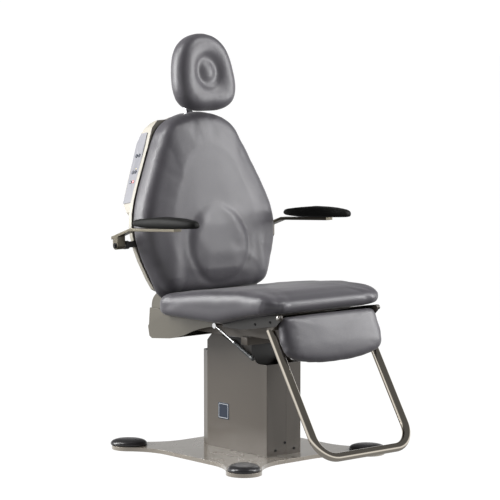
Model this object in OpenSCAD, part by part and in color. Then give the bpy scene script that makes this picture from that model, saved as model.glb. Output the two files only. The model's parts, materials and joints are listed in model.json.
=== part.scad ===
/* [Base] */
// Thickness of the base plate
plate_t = 13; // [8:1:20]
// Half width of the plate at its narrow middle
plate_half_x = 250; // [230:1:262]
// Half length of the plate at its narrow middle
plate_half_y = 247; // [235:1:280]
// Sideways distance from the centre to a lobe
lobe_x = 270; // [262:1:300]
// Lengthways distance from the centre to a lobe
lobe_y = 296; // [285:1:320]
// Radius of a lobe
lobe_r = 58; // [50:1:70]
// Radius of the hollow between a side and a lobe
waist_r = 180; // [120:5:260]
// Length of a foot cap
cap_l = 124; // [110:1:140]
// Width of a foot cap
cap_w = 104; // [90:1:116]
// Height of a foot cap over the plate
cap_h = 21; // [14:1:30]

/* [Column shroud] */
// Width of the shroud
col_w = 148; // [140:1:180]
// Distance from the swivel axis to the front panel
col_front = 182; // [170:1:200]
// Distance from the swivel axis to the rear edge of the side panels
col_side_rear = 120; // [110:1:130]
// Distance from the swivel axis to the rear panel
col_rear = 160; // [150:1:175]
// How far the rear corners are drawn in
col_corner = 16; // [8:1:24]
// Thickness of the sheet metal
sheet_t = 2; // [1:0.5:3]
// Height of the front panel's top edge
col_front_top = 316; // [290:1:320]
// Height of the side panels' highest point
col_side_top = 401; // [380:1:402]
// Height of the rear panel's top edge
col_rear_top = 333; // [310:1:340]

/* [Lift] */
// Travel of the lift
lift_travel = 254; // [150:1:260]
// Width of the inner column
inner_w = 116; // [110:1:124]
// Length of the inner column
inner_l = 176; // [160:1:180]
// Wall of the inner column
inner_wall = 5; // [3:0.5:8]
// Width of the guide mast
mast_w = 76; // [70:1:84]
// Length of the guide mast
mast_l = 100; // [92:1:110]
// Wall of the guide mast
mast_wall = 5; // [3:0.5:7]
// Outer radius of the lift actuator's tube
lift_tube_r = 18; // [16:0.5:19]
// Radius of the lift ram
ram_r = 10; // [8:0.5:12]
// Radius of the swivel rings
swivel_r = 76; // [70:1:78]
// Height of the inner column's top
inner_top = 392; // [390:1:396]
// Thickness of each swivel ring
ring_t = 9; // [7:0.5:10]

/* [Seat] */
// Half width of the seat cushion
seat_half_w = 255; // [240:1:270]
// Distance from the swivel axis to the cushion's front
seat_front = 412; // [405:1:420]
// Distance from the swivel axis to the cushion's rear
seat_rear = 180; // [165:1:182]
// Front corner radius of the seat cushion
seat_corner_r = 75; // [50:1:100]
// Rear corner radius of the seat cushion
seat_rear_corner_r = 45; // [35:1:75]
// Height of the cushion's underside over most of its length
seat_under = 459; // [456:1:466]
// Height of the cushion's underside at the front
seat_lip = 515; // [513:1:520]
// Height of the cushion's top at the front
seat_top = 575; // [560:1:590]
// Height of the cushion's top at the rear
seat_top_rear = 528; // [520:1:530]
// Crown of the cushion's top
seat_crown = 6; // [2:1:12]
// Thickness of the seat pan
pan_t = 3; // [2:0.5:4]
// Half width of the seat pan
pan_half_w = 204; // [190:1:206]
// Distance between the rails' centres
rail_gap = 270; // [260:1:276]
// Width of a rail
rail_w = 30; // [24:1:32]

/* [Back] */
// Lean of the back at rest, in degrees
lean = 9.7; // [8:0.1:11]
// Height of the back cushion along its face
back_h = 606; // [580:1:620]
// Half width of the back cushion
back_half_w = 285; // [270:1:290]
// Thickness of the back cushion
back_t = 93; // [85:1:96]
// Height of the lumbar swell
lumbar_h = 11; // [4:1:14]
// Depth of the rear housing behind the cushion
housing_d = 70; // [55:1:80]
// Wall of the back shell
shell_wall = 3; // [2:0.5:4]
// Depth of the shell's tray
tray_d = 15; // [14:1:18]
// Distance from the swivel axis to the recline hinge
hinge_y = 232; // [230:1:234]
// Height of the recline hinge
hinge_z = 475; // [474:1:477]
// Radius of the recline hinge shaft
hinge_r = 10; // [8:0.5:11]
// Recline travel, in degrees
recline_deg = 70; // [50:1:70]

/* [Leg rest] */
// Half width of the leg pad
pad_half_w = 208; // [200:1:208]
// Height of the leg pad along its face
pad_h = 138; // [128:1:142]
// Thickness of the leg pad
pad_t = 42; // [36:1:42]
// Lean of the leg pad's face, in degrees
pad_lean = 13; // [10:1:14]
// Distance from the swivel axis to the leg rest hinge
leg_y = 398; // [396:1:400]
// Height of the leg rest hinge
leg_z = 504; // [503:1:505]
// Leg rest travel, in degrees
leg_deg = 68; // [50:1:68]
// Outside diameter of the foot rail's tube
rail_tube_d = 28; // [25:1:28]
// Wall of the foot rail's tube
rail_tube_wall = 1.6; // [1.2:0.1:2.5]
// Distance between the legs of the foot rail
foot_w = 400; // [396:1:402]
// Length of the foot rail along a leg
foot_l = 448; // [400:1:455]
// Bend radius of the foot rail
foot_bend_r = 75; // [60:1:90]
// Slope of the foot rail's legs, in degrees
foot_lean = 31.7; // [29:0.1:32]

/* [Arms] */
// Distance from the middle to the centre of an arm
arm_x = 330; // [325:1:340]
// Width of an arm bar
arm_bar_w = 30; // [24:1:34]
// Thickness of an arm bar
arm_bar_t = 10; // [8:0.5:12]
// Length of an arm pad
arm_pad_l = 325; // [300:1:335]
// Width of an arm pad
arm_pad_w = 64; // [54:1:72]
// Thickness of an arm pad at its middle
arm_pad_t = 36; // [32:1:40]
// Radius of an arm's pivot
arm_pivot_r = 8; // [6:0.5:9]

/* [Headrest] */
// Height of the headrest cushion
head_h = 263; // [240:1:270]
// Half width of the headrest cushion
head_half_w = 124; // [115:1:130]
// Thickness of the headrest cushion
head_t = 74; // [66:1:80]
// Lean of the headrest, in degrees
head_lean = 10.8; // [9:0.1:12]
// Width of the headrest post
post_w = 30; // [24:1:32]
// Thickness of the headrest post
post_t = 10; // [8:0.5:11]
// Height travel of the headrest
head_travel = 100; // [60:1:100]

/* [Keypad] */
// Length of the keypad panel
keypad_l = 252; // [230:1:256]
// Width of the keypad panel
keypad_w = 48; // [42:1:52]
// Thickness of the keypad panel
keypad_t = 2; // [1.6:0.2:3]
// Radius of a round key
key_r = 5.5; // [4:0.5:6]
// How far a key stands out
key_h = 1.6; // [1.2:0.2:2.4]
// Key travel
key_travel = 0.8; // [0.5:0.1:1]

/* [Hidden] */
$fn = 48;
overrun = 1;
soft_gap = 0.3;
seat_gap = 0.9;
slide_gap = 0.3;
fit_gap = 0.05;
touch_gap = 0.1;
mesh_step = 55;

// Levels worked out from the sizes above
flange_t = 8;
swivel_plate_t = 8;
plate_level = inner_top + 2 * ring_t + slide_gap;
rail_level = plate_level + swivel_plate_t;
pan_level = seat_under - seat_gap - pan_t;
rail_x = rail_gap / 2;
rail_out = rail_x + rail_w / 2;

// Points along an arc, from one angle to the other
function arc(cx, cy, r, from, to, steps) =
    [for (i = [0:steps]) let (a = from + (to - from) * i / steps) [cx + r * cos(a), cy + r * sin(a)]];

// A closed outline from its right half, which runs from the bottom to the top
function both_sides(half) =
    concat(half, [for (i = [len(half) - 1:-1:0]) if (abs(half[i][0]) > 0) [-half[i][0], half[i][1]]]);

// A rounded rectangle with its own corner radius at the low end and at the high end
function soft_box(half_w, low, high, r_low, r_high, steps) = concat(
    arc(half_w - r_low, low + r_low, r_low, -90, 0, steps),
    arc(half_w - r_high, high - r_high, r_high, 0, 90, steps),
    arc(-half_w + r_high, high - r_high, r_high, 90, 180, steps),
    arc(-half_w + r_low, low + r_low, r_low, 180, 270, steps));

// The same outline with its long stretches split
function refined(points, step) = [
    for (i = [0:len(points) - 1])
        let (a = points[i], b = points[(i + 1) % len(points)], parts = max(1, ceil(norm(b - a) / step)))
        for (k = [0:parts - 1]) a + (b - a) * k / parts];

// A closed skin over rings of equal count, with one point at each end
module loft(rings, low_end, high_end) {
    count = len(rings[0]);
    last = len(rings) - 1;
    low = count * len(rings);
    wall = [for (k = [0:last - 1], i = [0:count - 1])
        let (a = k * count + i, b = k * count + (i + 1) % count, c = a + count, d = b + count)
        each [[a, d, b], [a, c, d]]];
    low_cap = [for (i = [0:count - 1]) [low, i, (i + 1) % count]];
    high_cap = [for (i = [0:count - 1]) [low + 1, last * count + (i + 1) % count, last * count + i]];
    polyhedron(
        points = concat([for (r = rings) each r], [low_end, high_end]),
        faces = concat(wall, low_cap, high_cap));
}

// A plate from an outline in the Y-Z plane, between two X places
module side_plate(x_from, x_to, points) {
    translate([min(x_from, x_to), 0, 0])
        rotate([90, 0, 90])
            linear_extrude(height = abs(x_to - x_from))
                polygon(points);
}

// A rod along X between two places
module cross_rod(x_from, x_to, y, z, r) {
    translate([min(x_from, x_to), y, z])
        rotate([0, 90, 0])
            cylinder(h = abs(x_to - x_from), r = r);
}

// A bore across a plate for a pin along X, with the pin's running clearance
module pin_bore(x_from, x_to, y, z, r) {
    turn = sign(x_to - x_from);
    cross_rod(x_from - turn * overrun, x_to + turn * overrun, y, z, r + fit_gap);
}

// A box given by its lowest and highest corners
module span(low, high) {
    translate(low)
        cube(high - low);
}

// A box between two X places in either order
module across(x_from, x_to, low, high) {
    span([min(x_from, x_to), low[0], low[1]], [max(x_from, x_to), high[0], high[1]]);
}

// Places the back's own frame: X across, Y towards the rear, Z up along the back
back_y = 183;
back_z = 525;
module back_place() {
    translate([0, back_y, back_z])
        rotate([-lean, 0, 0])
            children();
}
function to_back(y, z) = [
    (y - back_y) * cos(lean) - (z - back_z) * sin(lean),
    (y - back_y) * sin(lean) + (z - back_z) * cos(lean)];

// Base plate with four lobes and hollow sides
lobe_fillet_x = plate_half_x + waist_r;
lobe_fillet_y = lobe_y - sqrt(pow(waist_r + lobe_r, 2) - pow(lobe_fillet_x - lobe_x, 2));
end_fillet_y = plate_half_y + waist_r;
end_fillet_x = lobe_x - sqrt(pow(waist_r + lobe_r, 2) - pow(end_fillet_y - lobe_y, 2));
side_turn = atan2(lobe_y - lobe_fillet_y, lobe_x - lobe_fillet_x);
end_turn = atan2(lobe_y - end_fillet_y, lobe_x - end_fillet_x);
quarter = concat(
    arc(lobe_fillet_x, lobe_fillet_y, waist_r, 180, side_turn, 10),
    arc(lobe_x, lobe_y, lobe_r, side_turn - 180, end_turn + 180, 18),
    arc(end_fillet_x, end_fillet_y, waist_r, end_turn, -90, 10));
plate_outline = concat(
    quarter,
    [for (i = [len(quarter) - 1:-1:0]) [-quarter[i][0], quarter[i][1]]],
    [for (p = quarter) [-p[0], -p[1]]],
    [for (i = [len(quarter) - 1:-1:0]) [quarter[i][0], -quarter[i][1]]]);
mast_bolt_r = 5;
mast_flange_t = 10;
mast_flange_margin = 18;
mast_bolt_x = mast_w / 2 + mast_flange_margin / 2;
mast_bolt_y = mast_l / 2 + mast_flange_margin / 2;
mast_flange = [mast_w + 2 * mast_flange_margin, mast_l + 2 * mast_flange_margin];
module at_mast_bolts() {
    for (sx = [-1, 1], sy = [-1, 1])
        translate([sx * mast_bolt_x, sy * mast_bolt_y, 0])
            children();
}
module base_plate() {
    color("#b8b3ad")
        difference() {
            linear_extrude(height = plate_t)
                polygon(plate_outline);
            at_mast_bolts()
                translate([0, 0, -overrun])
                    cylinder(h = plate_t + 2 * overrun, r = mast_bolt_r);
        }
}

// Domed cap on a lobe, longer along the diagonal
cap_ring_shares = [[1.0, 0], [1.0, 0.28], [0.96, 0.5], [0.86, 0.72], [0.68, 0.89], [0.42, 0.97]];
cap_angle = atan2(lobe_y, lobe_x);
module foot_cap(sx, sy) {
    color("#4a484a")
        translate([sx * lobe_x, sy * lobe_y, plate_t])
            rotate([0, 0, sx * sy * cap_angle])
                loft(
                    [for (s = cap_ring_shares) [for (i = [0:35])
                        [cap_l / 2 * s[0] * cos(10 * i), cap_w / 2 * s[0] * sin(10 * i), cap_h * s[1]]]],
                    [0, 0, 0],
                    [0, 0, cap_h]);
}
module foot_cap_front_left() { foot_cap(-1, -1); }
module foot_cap_front_right() { foot_cap(1, -1); }
module foot_cap_rear_left() { foot_cap(-1, 1); }
module foot_cap_rear_right() { foot_cap(1, 1); }

// Shroud of the column: side panels with the cut profile
col_x = col_w / 2;
side_slope_y = 60;
side_slope_foot = 99;
side_slope_z = 335;
side_curve_r = 22;
corner_drop = 32;
side_profile = concat(
    [[-col_front, plate_t], [col_side_rear, plate_t],
     [col_side_rear, col_side_top - corner_drop],
     [col_side_rear - 0.8 * corner_drop, col_side_top - 0.2 * corner_drop],
     [side_slope_y + 0.4 * corner_drop, col_side_top],
     [side_slope_y, col_side_top - 0.05 * corner_drop],
     [-side_slope_foot, side_slope_z]],
    arc(-side_slope_foot - 2 * side_curve_r, col_front_top + side_curve_r, side_curve_r, -30, -90, 6),
    [[-col_front, col_front_top]]);
module shroud_side(sx) {
    color("#847c70")
        side_plate(sx * (col_x - sheet_t), sx * col_x, side_profile);
}
module shroud_left() { shroud_side(-1); }
module shroud_right() { shroud_side(1); }

// Front panel and the access panel that closes the rest of the front
access_x = 10;
front_lip = 16;
shroud_screw_r = 2.5;
shroud_screw_head_r = 4.5;
shroud_screw_head_t = 2;
shroud_screw_l = 8;
front_screw_places = [[-36, 31], [5, 53], [45, 30]];
module screw_holes(places) {
    for (p = places)
        translate([p[0], -col_front - overrun, p[1]])
            rotate([-90, 0, 0])
                cylinder(h = sheet_t + 2 * overrun, r = shroud_screw_r);
}
front_in = col_x - sheet_t - touch_gap;
module front_sheet(x_from, x_to, depth) {
    span([x_from, -col_front, plate_t], [x_to, -col_front + depth, col_front_top]);
}
module shroud_front() {
    color("#5f574d")
        difference() {
            union() {
                front_sheet(-front_in, access_x, sheet_t);
                front_sheet(-front_in, -front_in + sheet_t, front_lip);
                front_sheet(access_x - sheet_t, access_x, front_lip);
            }
            screw_holes(front_screw_places);
        }
}
module shroud_access() {
    color("#5f574d")
        difference() {
            union() {
                front_sheet(access_x + slide_gap, front_in, sheet_t);
                front_sheet(front_in - sheet_t, front_in, front_lip);
                front_sheet(access_x + slide_gap, access_x + slide_gap + sheet_t, front_lip);
            }
            screw_holes(front_screw_places);
        }
}

// Rear panel with drawn-in corners
rear_outline = [
    [-front_in, col_side_rear], [-front_in + col_corner, col_rear],
    [front_in - col_corner, col_rear], [front_in, col_side_rear]];
rear_hole_low = 40;
inlet_w = 28;
inlet_h = 22;
inlet_d = 24;
inlet_rim = 4;
inlet_z = plate_t + rear_hole_low;
module shroud_rear() {
    color("#847c70")
        difference() {
            translate([0, 0, plate_t])
                linear_extrude(height = col_rear_top - plate_t)
                    difference() {
                        polygon(rear_outline);
                        polygon([
                            [-front_in + sheet_t, col_side_rear - overrun],
                            [-front_in + sheet_t, col_side_rear],
                            [-front_in + col_corner + sheet_t, col_rear - sheet_t],
                            [front_in - col_corner - sheet_t, col_rear - sheet_t],
                            [front_in - sheet_t, col_side_rear],
                            [front_in - sheet_t, col_side_rear - overrun]]);
                    }
            span([-inlet_w / 2, col_rear - sheet_t - overrun, inlet_z],
                [inlet_w / 2, col_rear + overrun, inlet_z + inlet_h]);
        }
}
module mains_inlet() {
    color("#2a2a2c")
        difference() {
            union() {
                span([-inlet_w / 2 + touch_gap, col_rear - inlet_d, inlet_z + touch_gap],
                    [inlet_w / 2 - touch_gap, col_rear, inlet_z + inlet_h - touch_gap]);
                span([-inlet_w / 2 - inlet_rim, col_rear, inlet_z - inlet_rim],
                    [inlet_w / 2 + inlet_rim, col_rear + sheet_t, inlet_z + inlet_h + inlet_rim]);
            }
            span([-inlet_w / 2 + inlet_rim, col_rear - inlet_d + inlet_rim, inlet_z + inlet_rim],
                [inlet_w / 2 - inlet_rim, col_rear + sheet_t + overrun, inlet_z + inlet_h - inlet_rim]);
        }
}
module shroud_screws() {
    color("#222222")
        for (p = front_screw_places)
            translate([p[0], -col_front, p[1]])
                rotate([-90, 0, 0]) {
                    translate([0, 0, -shroud_screw_head_t])
                        cylinder(h = shroud_screw_head_t, r = shroud_screw_head_r);
                    cylinder(h = shroud_screw_l, r = shroud_screw_r - touch_gap);
                }
}

// Bare plate on the left side panel
badge_y = 35;
badge_z = 139;
badge_w = 54;
badge_h = 54;
badge_r = 5;
badge_t = 1.5;
module blank_plate() {
    color("#2d3a4a")
        side_plate(-col_x, -col_x - badge_t, [
            for (c = [[1, -1, -90], [1, 1, 0], [-1, 1, 90], [-1, -1, 180]]) each arc(
                badge_y + c[0] * (badge_w / 2 - badge_r), badge_z + c[1] * (badge_h / 2 - badge_r),
                badge_r, c[2], c[2] + 90, 5)]);
}

// Guide mast, fixed on the base plate
mast_overlap = 85;
mast_low_gap = mast_flange_t + 2 * mast_bolt_r;
mast_top = plate_t + mast_low_gap + lift_travel + mast_overlap;
module guide_mast() {
    color("#6d6f72")
        translate([0, 0, plate_t])
            difference() {
                union() {
                    linear_extrude(height = mast_top - plate_t)
                        square([mast_w, mast_l], center = true);
                    linear_extrude(height = mast_flange_t)
                        square(mast_flange, center = true);
                    at_mast_bolts()
                        translate([0, 0, mast_flange_t])
                            cylinder(h = mast_bolt_r, r = 1.6 * mast_bolt_r, $fn = 6);
                }
                translate([0, 0, -overrun])
                    linear_extrude(height = mast_top + overrun)
                        square([mast_w - 2 * mast_wall, mast_l - 2 * mast_wall], center = true);
            }
}

// Lift actuator: gearbox, motor and the tube that guides the ram
gear_h = 34;
gear_half_w = mast_w / 2 - mast_wall - overrun;
lift_y = -20;
lift_motor_y = 20;
lift_motor_r = 19;
lift_motor_h = 110;
ram_foot = 62;
ram_overlap = 24;
lift_tube_top = ram_foot + lift_travel + ram_overlap;
module lift_actuator() {
    color("#3c3e42")
        difference() {
            union() {
                span([-gear_half_w, lift_y - lift_tube_r, plate_t],
                    [gear_half_w, lift_motor_y + lift_motor_r, plate_t + gear_h]);
                translate([0, lift_y, plate_t])
                    cylinder(h = lift_tube_top - plate_t, r = lift_tube_r);
                translate([0, lift_motor_y, plate_t])
                    cylinder(h = gear_h + lift_motor_h, r = lift_motor_r);
            }
            translate([0, lift_y, plate_t + gear_h])
                cylinder(h = lift_tube_top, r = ram_r + fit_gap);
        }
}

// Inner column, which rises out of the shroud
inner_low = plate_t + mast_low_gap;
pad_step = 6;
pad_block_h = 32;
module inner_column() {
    color("#3f382f")
        difference() {
            union() {
                translate([0, 0, inner_low])
                    linear_extrude(height = inner_top - inner_low)
                        square([inner_w, inner_l], center = true);
                translate([0, 0, inner_top - flange_t])
                    cylinder(h = flange_t, r = swivel_r - sheet_t);
            }
            translate([0, 0, inner_low - overrun])
                linear_extrude(height = inner_top - flange_t - inner_low + overrun)
                    square([inner_w - 2 * inner_wall, inner_l - 2 * inner_wall], center = true);
        }
}
module guide_pads() {
    color("#e6e2d6")
        for (sx = [-1, 1], level = [inner_low + pad_step, inner_low + 2 * pad_step + pad_block_h])
            across(sx * (mast_w / 2 + slide_gap), sx * (inner_w / 2 - inner_wall),
                [-mast_l / 4, level], [mast_l / 4, level + pad_block_h]);
}
module lift_ram() {
    color("#c9cbce")
        translate([0, lift_y, ram_foot])
            cylinder(h = inner_top - flange_t - ram_foot, r = ram_r);
}
module swivel_ring_lower() {
    color("#8d8f92")
        translate([0, 0, inner_top])
            cylinder(h = ring_t, r = swivel_r);
}
module swivel_ring_upper() {
    color("#9a9c9f")
        translate([0, 0, inner_top + ring_t + slide_gap])
            cylinder(h = ring_t, r = swivel_r - ring_t);
}

// Lines that the seat cushion and the pan under it share, from the front (0) to the rear (1)
seat_l = seat_front + seat_rear;
under_shares = [[0, 1], [0.105, 0.857], [0.2, 0.68], [0.324, 0.41], [0.44, 0.08], [0.49, 0], [1, 0]];
top_shares = [[0, 0.36], [0.054, 0.68], [0.14, 0.9], [0.307, 1],
    [0.6, 0.68], [0.77, 0.38], [0.96, 0.04], [1, 0]];
function seat_share(y) = (y + seat_front) / seat_l;
function under_at(y) = seat_under + (seat_lip - seat_under) * lookup(seat_share(y), under_shares);
function top_at(y) = seat_top_rear + (seat_top - seat_top_rear) * lookup(seat_share(y), top_shares);
seat_ring_shares = [[0.22, 0], [0.4, 0], [0.56, 0], [0.72, 0], [0.86, 0], [0.965, 0.06], [0.995, 0.25],
    [0.988, 0.5], [1, 0.72], [0.965, 0.92], [0.9, 1], [0.7, 1], [0.5, 1], [0.26, 1]];
seat_plan = refined(
    soft_box(seat_half_w, -seat_l / 2, seat_l / 2, seat_corner_r, seat_rear_corner_r, 7), mesh_step);
seat_mid = (seat_rear - seat_front) / 2;
function seat_point(p, scale_share, height_share) =
    let (
        y = seat_mid + p[1] * scale_share,
        crown = height_share == 1 ? seat_crown * (1 - pow(scale_share, 2)) : 0)
    [p[0] * scale_share, y, under_at(y) + (top_at(y) - under_at(y)) * height_share + crown];
module seat_cushion() {
    color("#6b6a70")
        loft(
            [for (s = seat_ring_shares) [for (p = seat_plan) seat_point(p, s[0], s[1])]],
            [0, seat_mid, under_at(seat_mid)],
            [0, seat_mid, top_at(seat_mid) + seat_crown]);
}

// Seat pan, a bent plate that follows the cushion's underside
leg_reach_clear = 9;
leg_sweep_r = 54;
pan_front = leg_y - leg_sweep_r - leg_reach_clear;
bracket_t = 4;
pan_rear = seat_rear + 3 * bracket_t;
bracket_x = 213;
bracket_in = bracket_x - bracket_t;
function pan_stops() = concat([-pan_front],
    [for (s = under_shares) let (y = s[0] * seat_l - seat_front) if (y > -pan_front && s[0] < 1) y],
    [pan_rear]);
module seat_pan() {
    stops = pan_stops();
    color("#70685c")
        side_plate(-pan_half_w, pan_half_w, concat(
            [for (y = stops) [y, under_at(y) - seat_gap]],
            [for (i = [len(stops) - 1:-1:0]) [stops[i], under_at(stops[i]) - seat_gap - pan_t]]));
}

// Seat frame: swivel plate, rails, cross member, ears for the recline hinge, stand-offs for the cover
frame_front = 335;
frame_rear = 230;
swivel_plate_l = 170;
cross_w_left = 174;
cross_w_right = 158;
cross_d = 30;
cross_h = 26;
gusset_t = 6;
gusset_l = 60;
ear_t = 8;
ear_x = 136;
ear_r = 16;
standoff_r = 6;
standoff_y = [20, 165];
cover_x = 185;
lever_y = 66;
lever_drop = 9.7;
lever_shaft_r = 6;
lever_z = pan_level - lever_drop;
module seat_frame() {
    color("#5c554a")
        difference() {
            union() {
                span([-rail_out, -swivel_plate_l, plate_level], [rail_out, swivel_plate_l, rail_level]);
                for (sx = [-1, 1]) {
                    translate([sx * rail_x, 0, 0])
                        span([-rail_w / 2, -frame_front, rail_level], [rail_w / 2, frame_rear, pan_level]);
                    side_plate(sx * ear_x, sx * (ear_x + ear_t), concat(
                        [[hinge_y - 2 * ear_r, rail_level], [frame_rear, rail_level],
                         [hinge_y + ear_r, hinge_z - 2 * ear_r]],
                        arc(hinge_y, hinge_z, ear_r, 0, 180, 14)));
                    for (y = standoff_y)
                        cross_rod(sx * (rail_out - overrun), sx * (cover_x - sheet_t - touch_gap), y,
                            (rail_level + pan_level) / 2 + standoff_r / 2, standoff_r);
                    side_plate(sx * (rail_x - gusset_t), sx * rail_x, [
                        [-swivel_plate_l, rail_level - cross_h],
                        [-swivel_plate_l, rail_level],
                        [-swivel_plate_l + gusset_l, rail_level],
                        [-swivel_plate_l + gusset_l, plate_level]]);
                }
                span([-cross_w_left, -swivel_plate_l - cross_d, rail_level - cross_h],
                    [cross_w_right, -swivel_plate_l, rail_level]);
            }
            cross_rod(-rail_out - overrun, -rail_x + rail_w, -lever_y, lever_z, lever_shaft_r + fit_gap);
            for (sx = [-1, 1])
                pin_bore(sx * ear_x, sx * (ear_x + ear_t), hinge_y, hinge_z, hinge_r);
        }
}

// Front brackets: a side plate that carries the leg rest's pin, with a flange under the pan
bracket_rear = 124;
bracket_depth = 35;
bracket_depth_shares = [[0, 0.29], [0.33, 0.86], [0.64, 1], [0.95, 0.97]];
bracket_nose_r = 9;
bracket_flange_l = 74;
leg_pin_r = 5;
bracket_screw_shares = [[0.58, 0.6], [0.845, 0.6]];
bracket_l = leg_y - bracket_rear;
function bracket_top(share) = under_at(-bracket_rear - share * bracket_l) - seat_gap;
function bracket_point(share, depth_share) =
    [-bracket_rear - share * bracket_l, bracket_top(share) - depth_share * bracket_depth];
bracket_profile = concat(
    [for (s = bracket_depth_shares) bracket_point(s[0], s[1])],
    [[-leg_y - 0.6 * bracket_nose_r, leg_z - bracket_nose_r]],
    [for (share = [1, 0.84, 0.63, 0.35, 0.09, 0]) bracket_point(share, 0)]);
bracket_screw_places = [for (s = bracket_screw_shares) bracket_point(s[0], s[1])];
module front_bracket(sx) {
    color("#70685c")
        difference() {
            union() {
                side_plate(sx * bracket_in, sx * bracket_x, bracket_profile);
                cross_rod(sx * bracket_in, sx * bracket_x, -leg_y, leg_z, bracket_nose_r);
                across(sx * rail_out, sx * bracket_x,
                    [-bracket_rear - bracket_flange_l, pan_level - bracket_t], [-bracket_rear, pan_level]);
            }
            pin_bore(sx * bracket_in, sx * bracket_x, -leg_y, leg_z, leg_pin_r);
            for (p = bracket_screw_places)
                pin_bore(sx * bracket_in, sx * bracket_x, p[0], p[1], shroud_screw_r);
        }
}
module front_bracket_left() { front_bracket(-1); }
module front_bracket_right() { front_bracket(1); }
module bracket_screws() {
    color("#2a2a2a")
        for (sx = [-1, 1], p = bracket_screw_places) {
            cross_rod(sx * bracket_x, sx * (bracket_x + shroud_screw_head_t),
                p[0], p[1], shroud_screw_head_r);
            cross_rod(sx * bracket_in, sx * bracket_x, p[0], p[1], shroud_screw_r - touch_gap);
        }
}

// Lower rear cover: two side walls, a rear wall and a floor behind the column
cover_front = 57;
cover_low = 367;
cover_rear = 291;
cover_step = 7;
cover_bend_h = 40;
cover_mouth = 470;
cover_l = cover_front + cover_rear;
cover_drop = 88;
cover_curve_shares = [[0, 0.818], [0.1, 0.773], [0.247, 0.636], [0.353, 0.5], [0.457, 0.33], [0.578, 0.182],
    [0.69, 0.102]];
cover_back = [
    cover_point(cover_curve_shares[6]),
    [cover_rear - 2 * cover_step, cover_low],
    [cover_rear, cover_low + cover_step],
    [cover_rear + cover_step, cover_low + cover_bend_h],
    [cover_rear + sheet_t, cover_low + cover_bend_h + cover_step],
    [cover_rear - sheet_t - overrun, cover_mouth]];
cover_side = concat(
    [for (s = cover_curve_shares) cover_point(s)],
    [for (i = [1:5]) cover_back[i]],
    [[pan_rear + bracket_t, cover_mouth], [pan_rear + bracket_t, pan_level - sheet_t],
     [-cover_front, pan_level - sheet_t]]);
function cover_point(s) = [-cover_front + s[0] * cover_l, cover_low + s[1] * cover_drop];
module rear_cover() {
    color("#8a8577") {
        for (sx = [-1, 1])
            side_plate(sx * (cover_x - sheet_t), sx * cover_x, cover_side);
        side_plate(-cover_x + sheet_t, cover_x - sheet_t, concat(
            cover_back,
            [for (i = [5:-1:0]) cover_back[i] + [-sheet_t, i < 4 ? sheet_t : 0]]));
    }
}

// Recline actuator under the pan, with its gearbox in front of the cross member
act_tube_r = 14;
act_lift = 5;
act_z = rail_level + act_tube_r + act_lift;
act_front = 310;
act_half_w = 28;
act_rear = 150;
act_rod_r = 8;
act_low = rail_level - cross_h / 2;
module recline_actuator() {
    color("#33353a")
        difference() {
            union() {
                span([-act_half_w, -act_front, act_low],
                    [act_half_w, -swivel_plate_l - cross_d - touch_gap, pan_level - act_lift]);
                translate([0, -act_front, act_z])
                    rotate([-90, 0, 0])
                        cylinder(h = act_front + act_rear, r = act_tube_r);
            }
            translate([0, -swivel_plate_l, act_z])
                rotate([-90, 0, 0])
                    cylinder(h = swivel_plate_l + act_rear + overrun, r = act_rod_r + fit_gap);
        }
}

// Swivel brake block beside the lower ring
brake_d = 10;
brake_w = 40;
brake_h = 14;
module brake_block() {
    color("#4a4a4a")
        span([-swivel_r - slide_gap - brake_d, -brake_w / 2, plate_level - brake_h],
            [-swivel_r - slide_gap, brake_w / 2, plate_level]);
}

// Brake lever: shaft, hub and rod, with the grip on its end
lever_x = 195;
lever_slope = 25.3;
lever_l = 212;
lever_rod_r = 4;
grip_r = 6.5;
grip_l = 104;
lever_hub_r = 9;
lever_cam_t = 6;
lever_cam_x = -rail_x + rail_w / 2;
module lever_place() {
    translate([-lever_x, -lever_y, lever_z])
        rotate([90 + lever_slope, 0, 0])
            children();
}
module brake_lever() {
    color("#d8d8d8") {
        cross_rod(-lever_x - lever_rod_r, lever_cam_x + lever_cam_t, -lever_y, lever_z, lever_shaft_r);
        cross_rod(-lever_x - lever_rod_r - overrun, -lever_x + lever_rod_r + overrun,
            -lever_y, lever_z, lever_hub_r);
        cross_rod(lever_cam_x + touch_gap, lever_cam_x + lever_cam_t, -lever_y, lever_z, lever_hub_r);
        lever_place()
            cylinder(h = lever_l - lever_cam_t, r = lever_rod_r);
    }
}
module brake_grip() {
    color("#55585a")
        lever_place()
            difference() {
                union() {
                    translate([0, 0, lever_l - grip_l])
                        cylinder(h = grip_l - grip_r, r = grip_r);
                    translate([0, 0, lever_l - grip_r])
                        sphere(r = grip_r);
                }
                translate([0, 0, lever_l - grip_l - overrun])
                    cylinder(h = grip_l + overrun - lever_cam_t, r = lever_rod_r + fit_gap);
            }
}

// Cranks on the hinge shaft: one pulls the actuator's rod, the other pushes the leg link
crank_half = recline_deg / 2;
act_crank = (hinge_z - act_z) / ((1 + cos(crank_half)) / 2);
link_crank = 76;
crank_pin_r = 5;
crank_boss_r = 9;
act_pin_y = hinge_y + act_crank * sin(crank_half);
act_pin_z = hinge_z - act_crank * cos(crank_half);
link_pin_y = hinge_y + link_crank * sin(crank_half);
link_pin_z = hinge_z - link_crank * cos(crank_half);
link_travel = 2 * link_crank * sin(crank_half);
leg_half = leg_deg / 2;
leg_drop = link_travel / (2 * tan(leg_half));
leg_crank = leg_drop / cos(leg_half);
leg_pin_y = -leg_y + leg_drop * tan(leg_half);
leg_pin_z = leg_z - leg_drop;

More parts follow.
